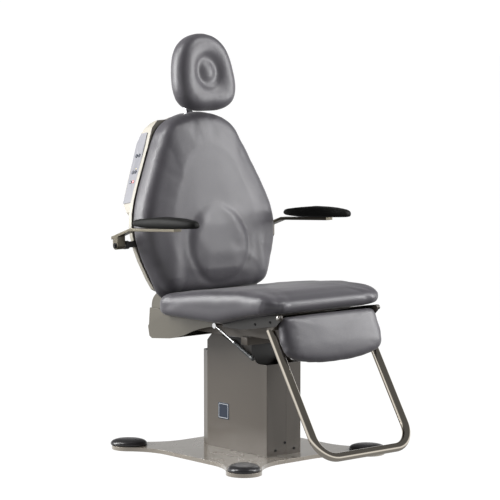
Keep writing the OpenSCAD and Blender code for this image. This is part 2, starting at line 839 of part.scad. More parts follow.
// Back frame: hinge shaft, side uprights, cross bars and cranks
upright_x = 151;
upright_t = 8;
back_rear_n = 40;
back_front_n = back_rear_n - back_t;
upright_n = back_rear_n + soft_gap;
upright_d = 9;
socket_top = back_h - 50;
socket_low = socket_top - 156;
upright_top = socket_low + 70;
bar_h = 20;
hinge_at = to_back(hinge_y, hinge_z);
arm_pivot_y = 268;
arm_pivot_z = 690;
pivot_at = to_back(arm_pivot_y, arm_pivot_z);
hinge_boss_r = 18;
act_crank_x = 8;
act_crank_t = 6;
shaft_end = upright_x + upright_t;
link_x = 162;
link_t = 6;
module crank_web(x_from, x_to, y, z) {
    a = atan2(z - hinge_z, y - hinge_y);
    side_plate(x_from, x_to, [
        for (c = [[hinge_y, hinge_z, a + 90, a + 270], [y, z, a - 90, a + 90]])
            each arc(c[0], c[1], crank_boss_r, c[2], c[3], 8)]);
}
module back_frame() {
    color("#4d4a45") {
        cross_rod(-shaft_end, shaft_end, hinge_y, hinge_z, hinge_r);
        back_place()
            for (sx = [-1, 1])
                side_plate(sx * upright_x, sx * shaft_end, [
                    [hinge_at[0] - crank_boss_r, hinge_at[1]], [hinge_at[0] + crank_boss_r, hinge_at[1]],
                    [upright_n + upright_d, bar_h], [upright_n + upright_d, upright_top],
                    [upright_n, upright_top], [upright_n, bar_h]]);
        back_place()
            for (level = [pivot_at[1] - bar_h / 2, upright_top - bar_h])
                span([-upright_x - overrun, upright_n, level],
                    [upright_x + overrun, upright_n + upright_d, level + bar_h]);
        for (sx = [-1, 1]) {
            cross_rod(sx * (upright_x - slide_gap), sx * (shaft_end + overrun),
                hinge_y, hinge_z, hinge_boss_r);
            crank_web(sx * act_crank_x, sx * (act_crank_x + act_crank_t), act_pin_y, act_pin_z);
        }
        cross_rod(-act_crank_x - overrun, act_crank_x + overrun, act_pin_y, act_pin_z, crank_pin_r);
        crank_web(upright_x + overrun, shaft_end - overrun, link_pin_y, link_pin_z);
        cross_rod(upright_x + 2 * overrun, link_x + link_t + crank_pin_r,
            link_pin_y, link_pin_z, crank_pin_r);
    }
}

// A slotted eye: an upright slot for a pin, in a plate
slot_gap = 1.8;
eye_wall = 6;
module slotted_plate(x_from, x_to, y, z, rise, fall) {
    side_plate(x_from, x_to, [
        for (c = [[-1, -fall, 180], [1, -fall, 270], [1, rise, 0], [-1, rise, 90]])
            each arc(y, z + c[1], crank_pin_r + slot_gap + eye_wall, c[2], c[2] + 90, 5)]);
}
module pin_slot(x_from, x_to, y, z, rise, fall) {
    side_plate(x_from - overrun, x_to + overrun, [
        for (c = [[-1, -fall, 180], [1, -fall, 270], [1, rise, 0], [-1, rise, 90]])
            each arc(y, z + c[1], crank_pin_r + slot_gap, c[2], c[2] + 90, 8)]);
}
act_dip = act_crank * (1 - cos(crank_half));
link_dip = link_crank * (1 - cos(crank_half));
yoke_half_t = 5;
act_rod_l = act_pin_y - crank_pin_r - slot_gap + act_tube_r - overrun;
module recline_rod() {
    color("#c9cbce")
        difference() {
            union() {
                translate([0, -act_tube_r, act_z])
                    rotate([-90, 0, 0])
                        cylinder(h = act_rod_l, r = act_rod_r);
                slotted_plate(-yoke_half_t, yoke_half_t, act_pin_y, act_pin_z, 0, act_dip);
            }
            pin_slot(-yoke_half_t, yoke_half_t, act_pin_y, act_pin_z, 0, act_dip);
        }
}
link_bar_h = 16;
module leg_link() {
    color("#8d8f92") {
        difference() {
            union() {
                slotted_plate(link_x, link_x + link_t, link_pin_y, link_pin_z, 0, link_dip);
                side_plate(link_x, link_x + link_t, concat(
                    [[link_pin_y, link_pin_z - link_dip - link_bar_h / 2],
                     [link_pin_y, link_pin_z - link_dip + link_bar_h / 2]],
                    arc(leg_pin_y, leg_pin_z, link_bar_h / 2, 90, 270, 12)));
            }
            pin_slot(link_x, link_x + link_t, link_pin_y, link_pin_z, 0, link_dip);
        }
        cross_rod(link_x - slide_gap - lug_t, link_x + overrun, leg_pin_y, leg_pin_z, crank_pin_r);
    }
}

// Outline of the back, from the bottom to the top, as shares of its half width and height
back_half_shares = [[0.3, 0], [0.66, 0.004], [0.77, 0.03], [0.84, 0.09], [0.93, 0.19], [0.975, 0.26],
    [1, 0.33], [1, 0.39], [0.975, 0.46], [0.925, 0.53], [0.865, 0.595], [0.8, 0.66], [0.728, 0.73],
    [0.66, 0.797], [0.605, 0.845], [0.545, 0.897], [0.47, 0.935], [0.365, 0.965], [0.22, 0.988], [0.07, 1]];
function back_half(inset) = [for (s = back_half_shares)
    [s[0] * (back_half_w - inset), inset + s[1] * (back_h - 2 * inset)]];
// Rings of the back cushion: share of the outline, share of the thickness from the rear
back_ring_shares = [[0.5, 0], [0.93, 0], [0.98, 0.055], [1, 0.2], [0.995, 0.46], [1, 0.658],
    [0.975, 0.85], [0.91, 0.965], [0.79, 1.05], [0.62, 1.12], [0.46, 1.14], [0.28, 1.15]];
// The cushion's rear runs on below its outline, behind the seat
tail_drop = 30;
tail_l = 55;
tail_shares = [[0.2, 1], [0.46, 0]];
function tail(share, s) = tail_drop * lookup(share, tail_shares) * max(0, 1 - s / tail_l);
lumbar_at = 0.25 * back_h;
lumbar_w = 132;
lumbar_l = 138;
function swell(x, s) =
    let (d = sqrt(pow(x / lumbar_w, 2) + pow((s - lumbar_at) / lumbar_l, 2)))
    d < 0.75 ? 1 : d > 1.1 ? 0 : (1 - cos(180 * (1.1 - d) / 0.35)) / 2;
function back_point(p, share) =
    let (x = p[0] * share[0], s = back_h / 2 + (p[1] - back_h / 2) * share[0])
    [x, back_rear_n - back_t * share[1] - (share[1] > 0.95 ? lumbar_h * swell(x, s) : 0),
        s - tail(share[1], s)];
// Channel in the cushion's rear for the headrest socket
socket_w = 44;
socket_n = 10;
channel_gap = 2;
module back_cushion() {
    outline = both_sides(back_half(0));
    last = len(outline) - 1;
    color("#6b6a70")
        back_place()
            difference() {
                loft(
                    [for (s = back_ring_shares) [for (i = [last:-1:0]) back_point(outline[i], s)]],
                    [0, back_rear_n, back_h / 2],
                    [0, back_front_n - 0.15 * back_t, back_h / 2]);
                span([-socket_w / 2 - channel_gap, socket_n - channel_gap, post_low - channel_gap],
                    [socket_w / 2 + channel_gap, back_rear_n + overrun, back_h + overrun]);
            }
}

// Back shell: a tray behind the cushion, and a housing with slanted flat sides
shell_inset = 4;
tray_n = back_rear_n + soft_gap;
tray_low = 14;
housing_low_share = 0.4703;
housing_low = housing_low_share * back_h;
housing_high = back_h - 44;
housing_low_w = 268;
housing_high_w = 149;
housing_mouth_w = 110;
housing_tilt = atan2(housing_low_w - housing_high_w, housing_high - housing_low);
housing_foot = 38;
housing_bevel = 24;
housing_crown = 30;
housing_plan = both_sides([
    [0, housing_low - housing_foot], [housing_low_w - housing_bevel, housing_low - housing_foot],
    [housing_low_w - shell_wall, housing_low - 0.42 * housing_foot],
    [housing_low_w, housing_low], [housing_high_w, housing_high],
    [housing_high_w - 1.1 * housing_bevel, housing_high + housing_bevel], [0, housing_high + housing_crown]]);
housing_side_shares = [[0, -0.14], [0.14, -0.13], [0.52, 0], [0.86, 0.09], [1, 0.22], [1, 0.5],
    [0.95, 0.78], [0.8, 0.95], [0.45, 1.06], [0, 1.11]];
housing_span = housing_high - housing_low;
housing_side = [for (s = housing_side_shares)
    [tray_n + s[0] * housing_d, housing_low + s[1] * housing_span]];
module housing_form(inset) {
    intersection() {
        translate([0, tray_n + housing_d + overrun, 0])
            rotate([90, 0, 0])
                linear_extrude(height = housing_d + 2 * overrun)
                    offset(delta = -inset)
                        polygon(housing_plan);
        rotate([90, 0, 90])
            translate([0, 0, -housing_low_w])
                linear_extrude(height = 2 * housing_low_w)
                    offset(delta = -inset)
                        polygon(housing_side);
    }
}
module tray_form(inset, from_n, to_n) {
    translate([0, to_n, 0])
        rotate([90, 0, 0])
            linear_extrude(height = to_n - from_n)
                polygon(both_sides(back_half(inset)));
}
module back_shell() {
    color("#ebe6da")
        back_place()
            difference() {
                union() {
                    tray_form(shell_inset, tray_n, tray_n + tray_d);
                    housing_form(0);
                }
                tray_form(shell_inset + shell_wall, tray_n - overrun, tray_n + tray_d - shell_wall);
                housing_form(shell_wall);
                span([-housing_mouth_w, tray_n, housing_low + shell_wall],
                    [housing_mouth_w, tray_n + tray_d + overrun, housing_high - shell_wall]);
                span([-back_half_w, tray_n - overrun, -overrun],
                    [back_half_w, tray_n + tray_d + overrun, tray_low]);
                for (sx = [-1, 1])
                    translate([sx * (back_half_w - shell_inset), 0, pivot_at[1]])
                        span([-bar_h, upright_n - overrun, -bar_h / 2 - overrun],
                            [bar_h, upright_n + upright_d + overrun, bar_h / 2 + overrun]);
            }
}
box_half_w = 90;
box_d = 38;
box_low = housing_low + 45;
box_top = box_low + 170;
module control_box() {
    color("#2f4f3a")
        back_place()
            span([-box_half_w, upright_n + upright_d + touch_gap, box_low],
                [box_half_w, upright_n + upright_d + box_d, box_top]);
}

// Hinge cover: a drum segment with side walls, carried by the uprights
drum_r = 52;
drum_from = -15;
drum_to = 72;
drum_x = 180;
drum_lug_r = 5;
drum_lug_y = 0;
drum_lug_z = 28;
module hinge_cover() {
    color("#8a8577") {
        side_plate(-drum_x, drum_x, concat(
            arc(hinge_y, hinge_z, drum_r, drum_from, drum_to, 24),
            arc(hinge_y, hinge_z, drum_r - sheet_t, drum_to, drum_from, 24)));
        for (sx = [-1, 1]) {
            side_plate(sx * (drum_x - sheet_t), sx * drum_x, concat(
                [[hinge_y - hinge_r, hinge_z]],
                arc(hinge_y, hinge_z, drum_r, drum_from, drum_to, 24),
                [[hinge_y - hinge_r, hinge_z + drum_lug_z + 2 * drum_lug_r]]));
            cross_rod(sx * (shaft_end + touch_gap), sx * (drum_x - touch_gap),
                hinge_y + drum_lug_y, hinge_z + drum_lug_z, drum_lug_r);
        }
    }
}

// Places the keypad on the slanted left side of the housing: X forwards, Y up the slope, Z outwards
keypad_level = 0.53;
keypad_n = 41;
keypad_s = housing_low + keypad_level * housing_span;
keypad_x = housing_low_w - keypad_level * (housing_low_w - housing_high_w);
module keypad_place() {
    back_place()
        translate([-keypad_x, tray_n + keypad_n, keypad_s])
            multmatrix([
                [0, sin(housing_tilt), -cos(housing_tilt), 0],
                [-1, 0, 0, 0],
                [0, cos(housing_tilt), sin(housing_tilt), 0],
                [0, 0, 0, 1]])
                children();
}
key_pitch = 14;
key_rows = [0.175, -0.06, -0.2];
lamp_row = -0.015;
lamp_r = 1.8;
keypad_corner = 3;
keypad_half_shares = [[-0.5, -0.5], [0.5, -0.5], [0.5, 0.5], [-0.2, 0.5], [-0.5, 0.36]];
module key_at(row, side) {
    translate([side * key_pitch / 2, key_rows[row] * keypad_l, 0])
        children();
}
module keypad_panel() {
    color("#e2e2ea")
        keypad_place() {
            difference() {
                translate([0, 0, touch_gap])
                    linear_extrude(height = keypad_t)
                        offset(r = keypad_corner, $fn = 24)
                            offset(delta = -keypad_corner)
                                polygon([for (p = keypad_half_shares) [p[0] * keypad_w, p[1] * keypad_l]]);
                for (row = [0, 1, 2], side = [-1, 1])
                    key_at(row, side)
                        cylinder(h = keypad_t + overrun, r = key_r + fit_gap);
            }
            translate([key_pitch / 2, lamp_row * keypad_l, keypad_t])
                cylinder(h = touch_gap + key_h / 2, r = lamp_r);
        }
}
module key_cap(row, side, shade) {
    color(shade)
        keypad_place()
            key_at(row, side)
                translate([0, 0, touch_gap + key_travel])
                    cylinder(h = keypad_t + key_h - key_travel, r = key_r);
}
module key_up() { key_cap(0, 1, "#c9ccd6"); }
module key_down() { key_cap(0, -1, "#c9ccd6"); }
module key_recline() { key_cap(1, 1, "#c9ccd6"); }
module key_upright() { key_cap(1, -1, "#c9ccd6"); }
module key_auto() { key_cap(2, -1, "#2b2c33"); }
module key_stop() { key_cap(2, 1, "#c0282c"); }

// Arm mounts on the uprights, each with the shaft its arm folds on
arm_boss_r = 14;
arm_boss_w = 15;
arm_block_w = 32;
arm_block_l = 26;
arm_out = arm_x + arm_bar_w / 2;
arm_in = arm_out - arm_block_w;
boss_gap = 5;
boss_out = arm_in - boss_gap;
module arm_mount(sx) {
    color("#4d4a45") {
        back_place()
            across(sx * (shaft_end + touch_gap), sx * boss_out,
                [upright_n, pivot_at[1] - bar_h / 2], [upright_n + upright_d, pivot_at[1] + bar_h / 2]);
        cross_rod(sx * (boss_out - arm_boss_w), sx * boss_out, arm_pivot_y, arm_pivot_z, arm_boss_r);
        cross_rod(sx * (boss_out - overrun), sx * arm_out, arm_pivot_y, arm_pivot_z, arm_pivot_r);
    }
}
module arm_mount_left() { arm_mount(-1); }
module arm_mount_right() { arm_mount(1); }

// Arm bars: a bent flat bar with a block that turns on the shaft
arm_reach = 310;
arm_rise = 72;
arm_bend_l = 77;
arm_bend_rise = 58;
arm_tail_l = 22;
arm_tail_rise = 24;
arm_line = [
    [arm_pivot_y - arm_reach, arm_pivot_z + arm_rise],
    [arm_pivot_y - arm_bend_l, arm_pivot_z + arm_bend_rise],
    [arm_pivot_y + arm_tail_l, arm_pivot_z + arm_tail_rise]];
module arm_bar(sx) {
    color("#9a9484")
        difference() {
            union() {
                side_plate(sx * (arm_x - arm_bar_w / 2), sx * arm_out, concat(
                    [for (p = arm_line) [p[0], p[1] - arm_bar_t / 2]],
                    [for (i = [2:-1:0]) [arm_line[i][0], arm_line[i][1] + arm_bar_t / 2]]));
                side_plate(sx * arm_in, sx * arm_out, concat(
                    arc(arm_pivot_y, arm_pivot_z, arm_block_l / 2, 180, 360, 16),
                    [for (turn = [1, -1])
                        let (y = arm_pivot_y + turn * arm_block_l / 2) [y, lookup(y, arm_line)]]));
            }
            pin_bore(sx * arm_in, sx * arm_out, arm_pivot_y, arm_pivot_z, arm_pivot_r);
        }
}
module arm_bar_left() { arm_bar(-1); }
module arm_bar_right() { arm_bar(1); }

// Arm pads, thickest at the middle, with the underside on the bar's line and lifting at the rear
arm_pad_rear = 185.5;
arm_pad_crown = 2;
arm_pad_mid = arm_pad_rear - arm_pad_l / 2;
arm_pad_front_fall = 14;
arm_pad_rear_fall = 10;
arm_pad_rear_lift = 8;
arm_pad_power = 2 / 2.4;
arm_pad_front_power = 2 / 3;
arm_pad_points = 40;
arm_pad_shares = [[0.28, 0], [0.09, 0.08], [0, 0.32], [0, 0.55], [0.09, 0.8], [0.25, 0.94], [0.47, 1]];
function blunt(v, power) = sign(v) * pow(abs(v), power);
function arm_pad_end(y) = (y - arm_pad_mid) / (arm_pad_l / 2);
function arm_pad_floor(y) =
    let (a = arm_line[0], b = arm_line[1], along = arm_pad_end(y))
    a[1] + (b[1] - a[1]) * (y - a[0]) / (b[0] - a[0]) + arm_bar_t / 2 + soft_gap
        + (along > 0 ? arm_pad_rear_lift : 0) * pow(along, 2);
function arm_pad_depth(y) =
    let (along = arm_pad_end(y))
    arm_pad_t - (along > 0 ? arm_pad_rear_fall + arm_pad_rear_lift : arm_pad_front_fall) * pow(along, 2);
function arm_pad_plan(inset) = [for (i = [0:arm_pad_points - 1])
    let (a = 360 * i / arm_pad_points, power = sin(a) < 0 ? arm_pad_front_power : arm_pad_power)
    [(arm_pad_w / 2 - inset) * blunt(cos(a), power),
        arm_pad_mid + (arm_pad_l / 2 - inset) * blunt(sin(a), power)]];
module arm_pad(sx) {
    color("#3a3b38")
        loft(
            [for (s = arm_pad_shares) [for (p = arm_pad_plan(s[0] * arm_pad_w / 2))
                [sx * arm_x + p[0], p[1], arm_pad_floor(p[1]) + arm_pad_depth(p[1]) * s[1]]]],
            [sx * arm_x, arm_pad_mid, arm_pad_floor(arm_pad_mid)],
            [sx * arm_x, arm_pad_mid, arm_pad_floor(arm_pad_mid) + arm_pad_t + arm_pad_crown]);
}
module arm_pad_left() { arm_pad(-1); }
module arm_pad_right() { arm_pad(1); }

// Leg rest: places the pad's own frame, with Y into the pad and Z up its face
pad_ahead = 4;
pad_over = 1;
module pad_place() {
    translate([0, -leg_y - pad_ahead, leg_z + pad_over])
        rotate([-pad_lean, 0, 0])
            children();
}
pad_sag = 18;
pad_crown = 1.5;
rail_tube_r = rail_tube_d / 2;
pad_rail_gap = 3.3;
pad_low_shares = [[0, 1], [0.3, 0.93], [0.55, 0.65], [0.74, 0.25]];
pad_side_shares = [[0.87, 0.98], [0.95, 0.9], [0.99, 0.78], [1, 0.6], [1, 0.45], [0.984, 0.3], [0.97, 0.17],
    [0.952, 0.06], [0.9, 0]];
pad_outline = both_sides(concat(
    [for (s = pad_low_shares) [s[0] * pad_half_w, -pad_h - s[1] * pad_sag]],
    [for (s = pad_side_shares) [s[0] * pad_half_w, -s[1] * pad_h]],
    [[0.5 * pad_half_w, 0.67 * pad_crown], [0, pad_crown]]));
// The pad narrows behind, where it lies between the foot rail's legs: they slope, so its sides are deep above
// and shallow below. Each ring gives its share of the outline and of the depth, how far it follows that slope,
// and how far it swells ahead.
pad_rear_share = (foot_w / 2 - rail_tube_r - pad_rail_gap) / pad_half_w;
pad_slope_foot = -131;
pad_slope = 0.0078;
pad_slope_most = 0.48;
pad_swell = 14;
pad_swell_l = 100;
function pad_follow(s) = min(pad_slope_most, max(0, pad_slope * (s - pad_slope_foot)));
pad_ring_shares = [
    [0.55 * pad_rear_share, 1, 0, 0], [0.955 * pad_rear_share, 1, 0, 0], [0.995 * pad_rear_share, 0.9, 0, 0],
    [pad_rear_share, 0.37, 1, 0], [0.45 * pad_rear_share + 0.55, 0.33, 1, 0], [0.985, 0.27, 0.95, 0],
    [1, 0.19, 0.6, 0], [0.995, 0.08, 0, 0.2], [0.965, -0.03, 0, 0.6], [0.9, -0.12, 0, 0.9],
    [0.8, -0.17, 0, 1], [0.6, -0.21, 0, 1], [0.32, -0.24, 0, 1]];
pad_mid = -0.53 * pad_h;
function pad_point(p, ring) =
    let (s = pad_mid + (p[1] - pad_mid) * ring[0])
    [p[0] * ring[0],
        pad_t * (ring[1] + ring[2] * pad_follow(s)) - pad_swell * ring[3] * min(1, max(0, -s / pad_swell_l)), s];
module leg_pad() {
    last = len(pad_outline) - 1;
    color("#6b6a70")
        pad_place()
            loft(
                [for (s = pad_ring_shares) [for (i = [last:-1:0]) pad_point(pad_outline[i], s)]],
                [0, pad_t, pad_mid],
                pad_point([0, pad_mid], [0, -0.25, 0, 1]));
}

// Foot rail: a bent tube
foot_top_back = 55;
foot_top_drop = 44;
foot_top_y = leg_y - foot_top_back;
foot_top_z = leg_z - foot_top_drop;
module rail_place() {
    translate([0, -foot_top_y, foot_top_z])
        rotate([90 - foot_lean, 0, 0])
            children();
}
module rail_form(r, extra) {
    for (sx = [-1, 1]) {
        translate([sx * foot_w / 2, foot_bend_r - foot_l, 0])
            rotate([-90, 0, 0])
                cylinder(h = foot_l - foot_bend_r + extra, r = r, $fn = 32);
        translate([sx * (foot_w / 2 - foot_bend_r), foot_bend_r - foot_l, 0])
            rotate([0, 0, sx > 0 ? -90 : 180])
                rotate_extrude(angle = 90, $fn = 48)
                    translate([foot_bend_r, 0])
                        circle(r = r, $fn = 32);
    }
    translate([foot_bend_r - foot_w / 2, -foot_l, 0])
        rotate([0, 90, 0])
            cylinder(h = foot_w - 2 * foot_bend_r, r = r, $fn = 32);
}
module foot_rail() {
    color("#c4bfb6")
        rail_place()
            difference() {
                rail_form(rail_tube_r, 0);
                rail_form(rail_tube_r - rail_tube_wall, overrun);
            }
}

// Leg frame: pins, side arms, board behind the pad and the slotted lug the link drives
leg_arm_t = 4;
leg_arm_gap = 0.5;
leg_arm_in = bracket_in - leg_arm_t - leg_arm_gap;
leg_head_t = 6;
leg_head_out = bracket_x + leg_head_t;
leg_head_r = 8;
board_t = 10;
board_left = 178;
board_low = 118;
board_top = 14;
board_right = link_x - slide_gap;
lug_t = 6;
lug_gap = 2.3;
lug_wall = 5;
lug_rise_share = 0.96;
lug_foot_shares = [0.72, 0.84];
lug_r = crank_pin_r + lug_gap;
lug_out_r = lug_r + lug_wall;
function lug_point(share, side) = [
    -leg_y + leg_crank * share * sin(leg_half) + side * cos(leg_half),
    leg_z - leg_crank * share * cos(leg_half) + side * sin(leg_half)];
lug_low = cos(leg_half) * lug_rise_share;
function lug_round(share, r, a, turn) =
    lug_point(share, r * cos(a)) + turn * r * sin(a) * [sin(leg_half), -cos(leg_half)];
board_n = pad_t + soft_gap;
board_n_rear = pad_t + board_t;
module leg_frame() {
    color("#4d4a45")
        difference() {
            union() {
                for (sx = [-1, 1]) {
                    side_plate(sx * leg_arm_in, sx * (leg_arm_in + leg_arm_t), concat(
                        arc(-leg_y, leg_z, bracket_nose_r, 50, 230, 12),
                        arc(-foot_top_y, foot_top_z, bracket_nose_r, 230, 410, 12)));
                    cross_rod(sx * leg_arm_in, sx * leg_head_out, -leg_y, leg_z, leg_pin_r);
                    cross_rod(sx * (bracket_x + slide_gap), sx * leg_head_out, -leg_y, leg_z, leg_head_r);
                }
                pad_place() {
                    across(-board_left, board_right, [board_n, -board_low], [board_n_rear, -board_top]);
                    across(-leg_arm_in - overrun, -board_left + overrun,
                        [board_n, -board_top - 2 * board_t], [board_n_rear, -board_top]);
                    for (sx = [-1, 1])
                        across(sx * (board_right - overrun), sx * foot_w / 2,
                            [board_n, -board_low], [board_n_rear, -board_low + board_t]);
                }
                side_plate(board_right - lug_t, board_right, concat(
                    [lug_point(lug_foot_shares[0], lug_out_r)],
                    [lug_point(lug_foot_shares[1], -lug_out_r)],
                    [for (a = [180:-15:0]) lug_round(1, lug_out_r, a, 1)]));
            }
            side_plate(board_right - lug_t - overrun, board_right + overrun, concat(
                [for (a = [0:15:180]) lug_round(lug_low, lug_r, a, -1)],
                [for (a = [180:-15:0]) lug_round(1, lug_r, a, 1)]));
            rail_place()
                for (sx = [-1, 1])
                    translate([sx * foot_w / 2, -foot_l / 2, 0])
                        rotate([-90, 0, 0])
                            cylinder(h = foot_l / 2 + touch_gap, r = rail_tube_r + touch_gap);
        }
}

// Headrest socket in the cushion's channel, with a slot for the post
post_n = 21;
module headrest_socket() {
    color("#2c2d30")
        back_place()
            difference() {
                span([-socket_w / 2, socket_n, socket_low],
                    [socket_w / 2, upright_n - touch_gap, socket_top]);
                span([-post_w / 2 - fit_gap, post_n - post_t / 2 - fit_gap, socket_low - overrun],
                    [post_w / 2 + fit_gap, post_n + post_t / 2 + fit_gap, socket_top + overrun]);
            }
}

// Headrest post with the eye of the lower knuckle
post_top = back_h + 34;
post_grip = 76;
post_low = socket_top - head_travel - post_grip;
knuckle_r = 12;
knuckle_w = 18;
knuckle_pin_r = 5;
fork_t = 6;
lower_y = back_y + post_n * cos(lean) + post_top * sin(lean);
lower_z = back_z - post_n * sin(lean) + post_top * cos(lean);
module headrest_post() {
    color("#c9cbce")
        difference() {
            union() {
                back_place()
                    across(-post_w / 2, post_w / 2,
                        [post_n - post_t / 2, post_low],
                        [post_n + post_t / 2, post_top - knuckle_r - overrun]);
                back_place()
                    across(-knuckle_w / 2 + overrun, knuckle_w / 2 - overrun,
                        [post_n - post_t / 2 + overrun, post_top - 2 * knuckle_r],
                        [post_n + post_t / 2 - overrun, post_top]);
                cross_rod(-knuckle_w / 2, knuckle_w / 2, lower_y, lower_z, knuckle_r);
            }
            cross_rod(-knuckle_w, knuckle_w, lower_y, lower_z, knuckle_pin_r + fit_gap);
        }
}

// Headrest's own frame: Z up along it, Y towards its rear
head_n = 73.014;
head_s = back_h - 6.7346;
head_y = back_y - head_n * cos(lean) + head_s * sin(lean);
head_z = back_z + head_n * sin(lean) + head_s * cos(lean);
module head_place() {
    translate([0, head_y, head_z])
        rotate([-head_lean, 0, 0])
            children();
}
head_rear_n = 33;
plate_n = head_rear_n + soft_gap;
head_plate_t = 4;
upper_n = plate_n + head_plate_t + knuckle_r + touch_gap;
upper_s = 98;
upper_y = head_y + upper_n * cos(head_lean) + upper_s * sin(head_lean);
upper_z = head_z - upper_n * sin(head_lean) + upper_s * cos(head_lean);
link_turn = atan2(upper_z - lower_z, upper_y - lower_y);
fork_in = knuckle_w / 2 + 2 * touch_gap;
fork_out = fork_in + fork_t;
lock_w = 8;
module headrest_link() {
    color("#2c2d30") {
        for (sx = [-1, 1])
            side_plate(sx * fork_in, sx * fork_out, concat(
                arc(lower_y, lower_z, knuckle_r, link_turn + 90, link_turn + 270, 14),
                arc(upper_y, upper_z, knuckle_r, link_turn - 90, link_turn + 90, 14)));
        cross_rod(-fork_out, fork_out + lock_w + fork_t, lower_y, lower_z, knuckle_pin_r);
        cross_rod(-fork_out, fork_out, upper_y, upper_z, knuckle_pin_r);
    }
}
head_plate_w = 60;
head_plate_low = 55;
head_plate_top = 165;
module headrest_plate() {
    color("#3a3b3e")
        difference() {
            union() {
                head_place()
                    across(-head_plate_w, head_plate_w,
                        [plate_n, head_plate_low], [plate_n + head_plate_t, head_plate_top]);
                head_place()
                    across(-knuckle_w / 2 + overrun, knuckle_w / 2 - overrun,
                        [plate_n + overrun, upper_s - knuckle_r / 2], [upper_n, upper_s + knuckle_r / 2]);
                cross_rod(-knuckle_w / 2, knuckle_w / 2, upper_y, upper_z, knuckle_r);
            }
            cross_rod(-knuckle_w, knuckle_w, upper_y, upper_z, knuckle_pin_r + fit_gap);
        }
}
head_shares = [[0.34, 0], [0.6, 0.024], [0.79, 0.07], [0.9, 0.13], [0.965, 0.205], [0.995, 0.285],
    [1, 0.365], [0.988, 0.44], [0.968, 0.52], [0.94, 0.6], [0.895, 0.68], [0.83, 0.76], [0.735, 0.835],
    [0.6, 0.9], [0.42, 0.955], [0.16, 0.99]];
head_outline = both_sides([for (s = head_shares) [s[0] * head_half_w, s[1] * head_h]]);
head_ring_shares = [[0.5, 0], [0.85, 0], [0.925, 0.07], [0.972, 0.2], [1, 0.42], [0.99, 0.68], [0.94, 0.88],
    [0.86, 1], [0.75, 1.05], [0.58, 1.03], [0.42, 0.97], [0.24, 0.95], [0.1, 0.99]];
head_mid = 0.47 * head_h;
function head_point(p, s) =
    [p[0] * s[0], head_rear_n - head_t * s[1], head_mid + (p[1] - head_mid) * s[0]];
module headrest_cushion() {
    last = len(head_outline) - 1;
    color("#6b6a70")
        head_place()
            loft(
                [for (s = head_ring_shares) [for (i = [last:-1:0]) head_point(head_outline[i], s)]],
                [0, head_rear_n, head_mid],
                [0, head_rear_n - head_t, head_mid]);
}
lock_hub_r = 9;
lock_l = 46;
lock_turn = 20;
lock_tip_r = 6;
module headrest_lock() {
    color("#c9cbce")
        difference() {
            side_plate(fork_out + touch_gap, fork_out + lock_w, concat(
                arc(lower_y, lower_z, lock_hub_r, lock_turn + 90, lock_turn + 270, 14),
                arc(lower_y + lock_l * cos(lock_turn), lower_z + lock_l * sin(lock_turn), lock_tip_r,
                    lock_turn - 90, lock_turn + 90, 10)));
            pin_bore(fork_out, fork_out + lock_w, lower_y, lower_z, knuckle_pin_r);
        }
}

base_plate();
foot_cap_front_left();
foot_cap_front_right();
foot_cap_rear_left();
foot_cap_rear_right();
shroud_left();
shroud_right();
shroud_front();
shroud_access();
shroud_rear();
shroud_screws();
blank_plate();
mains_inlet();
guide_mast();
lift_actuator();
inner_column();
guide_pads();
lift_ram();
swivel_ring_lower();
swivel_ring_upper();
seat_frame();
seat_pan();
front_bracket_left();
front_bracket_right();
bracket_screws();
seat_cushion();
rear_cover();
recline_actuator();
brake_block();
brake_lever();
brake_grip();
back_frame();
back_cushion();
back_shell();
control_box();
hinge_cover();
keypad_panel();
arm_mount_left();
arm_mount_right();
headrest_socket();
key_up();
key_down();
key_recline();
key_upright();
key_auto();
key_stop();
recline_rod();
leg_link();
leg_frame();
leg_pad();
foot_rail();
arm_bar_left();
arm_bar_right();
arm_pad_left();
arm_pad_right();
headrest_post();
headrest_link();
headrest_plate();
headrest_cushion();
headrest_lock();
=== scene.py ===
import json
import math

import bmesh
import bpy
import numpy as np
from mathutils import Matrix, Vector, noise
from mathutils.bvhtree import BVHTree


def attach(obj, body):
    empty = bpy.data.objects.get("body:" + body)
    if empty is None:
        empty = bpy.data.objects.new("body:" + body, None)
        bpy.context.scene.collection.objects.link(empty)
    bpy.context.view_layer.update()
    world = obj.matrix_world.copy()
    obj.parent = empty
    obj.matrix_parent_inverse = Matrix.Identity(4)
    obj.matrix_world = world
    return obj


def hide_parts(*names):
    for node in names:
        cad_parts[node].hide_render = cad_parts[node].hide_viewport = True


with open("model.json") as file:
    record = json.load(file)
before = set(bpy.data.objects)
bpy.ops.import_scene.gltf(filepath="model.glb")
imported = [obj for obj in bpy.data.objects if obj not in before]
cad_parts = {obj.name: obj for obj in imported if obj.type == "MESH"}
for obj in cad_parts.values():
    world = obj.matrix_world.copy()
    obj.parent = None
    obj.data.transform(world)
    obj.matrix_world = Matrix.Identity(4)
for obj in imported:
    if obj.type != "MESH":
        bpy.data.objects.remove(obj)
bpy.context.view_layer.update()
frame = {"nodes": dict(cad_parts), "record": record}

mm = 0.001
scene = bpy.context.scene
bodyOfNode = {n: b for b, names in frame["record"]["behaviour"]["bodies"].items() for n in names}


def tiltedFrame(origin, lean):
    return Matrix.Translation(Vector(origin) * mm) @ Matrix.Rotation(math.radians(-lean), 4, "X")


backFrame = tiltedFrame((0, 183, 525), 9.7)      # X across, Y to the rear, Z up along the back
headFrame = tiltedFrame((0, 212, 1128), 10.8)
padFrame = tiltedFrame((0, -402, 505), 13)
rowFrame = Matrix.Identity(4)

cameraView = {"azimuth": -40.83, "pitch": 5.62, "distance": 7.6433, "target": (0, -0.008, 0.7),
              "lens": 166.46, "shiftX": 0.002, "shiftY": -0.0154}


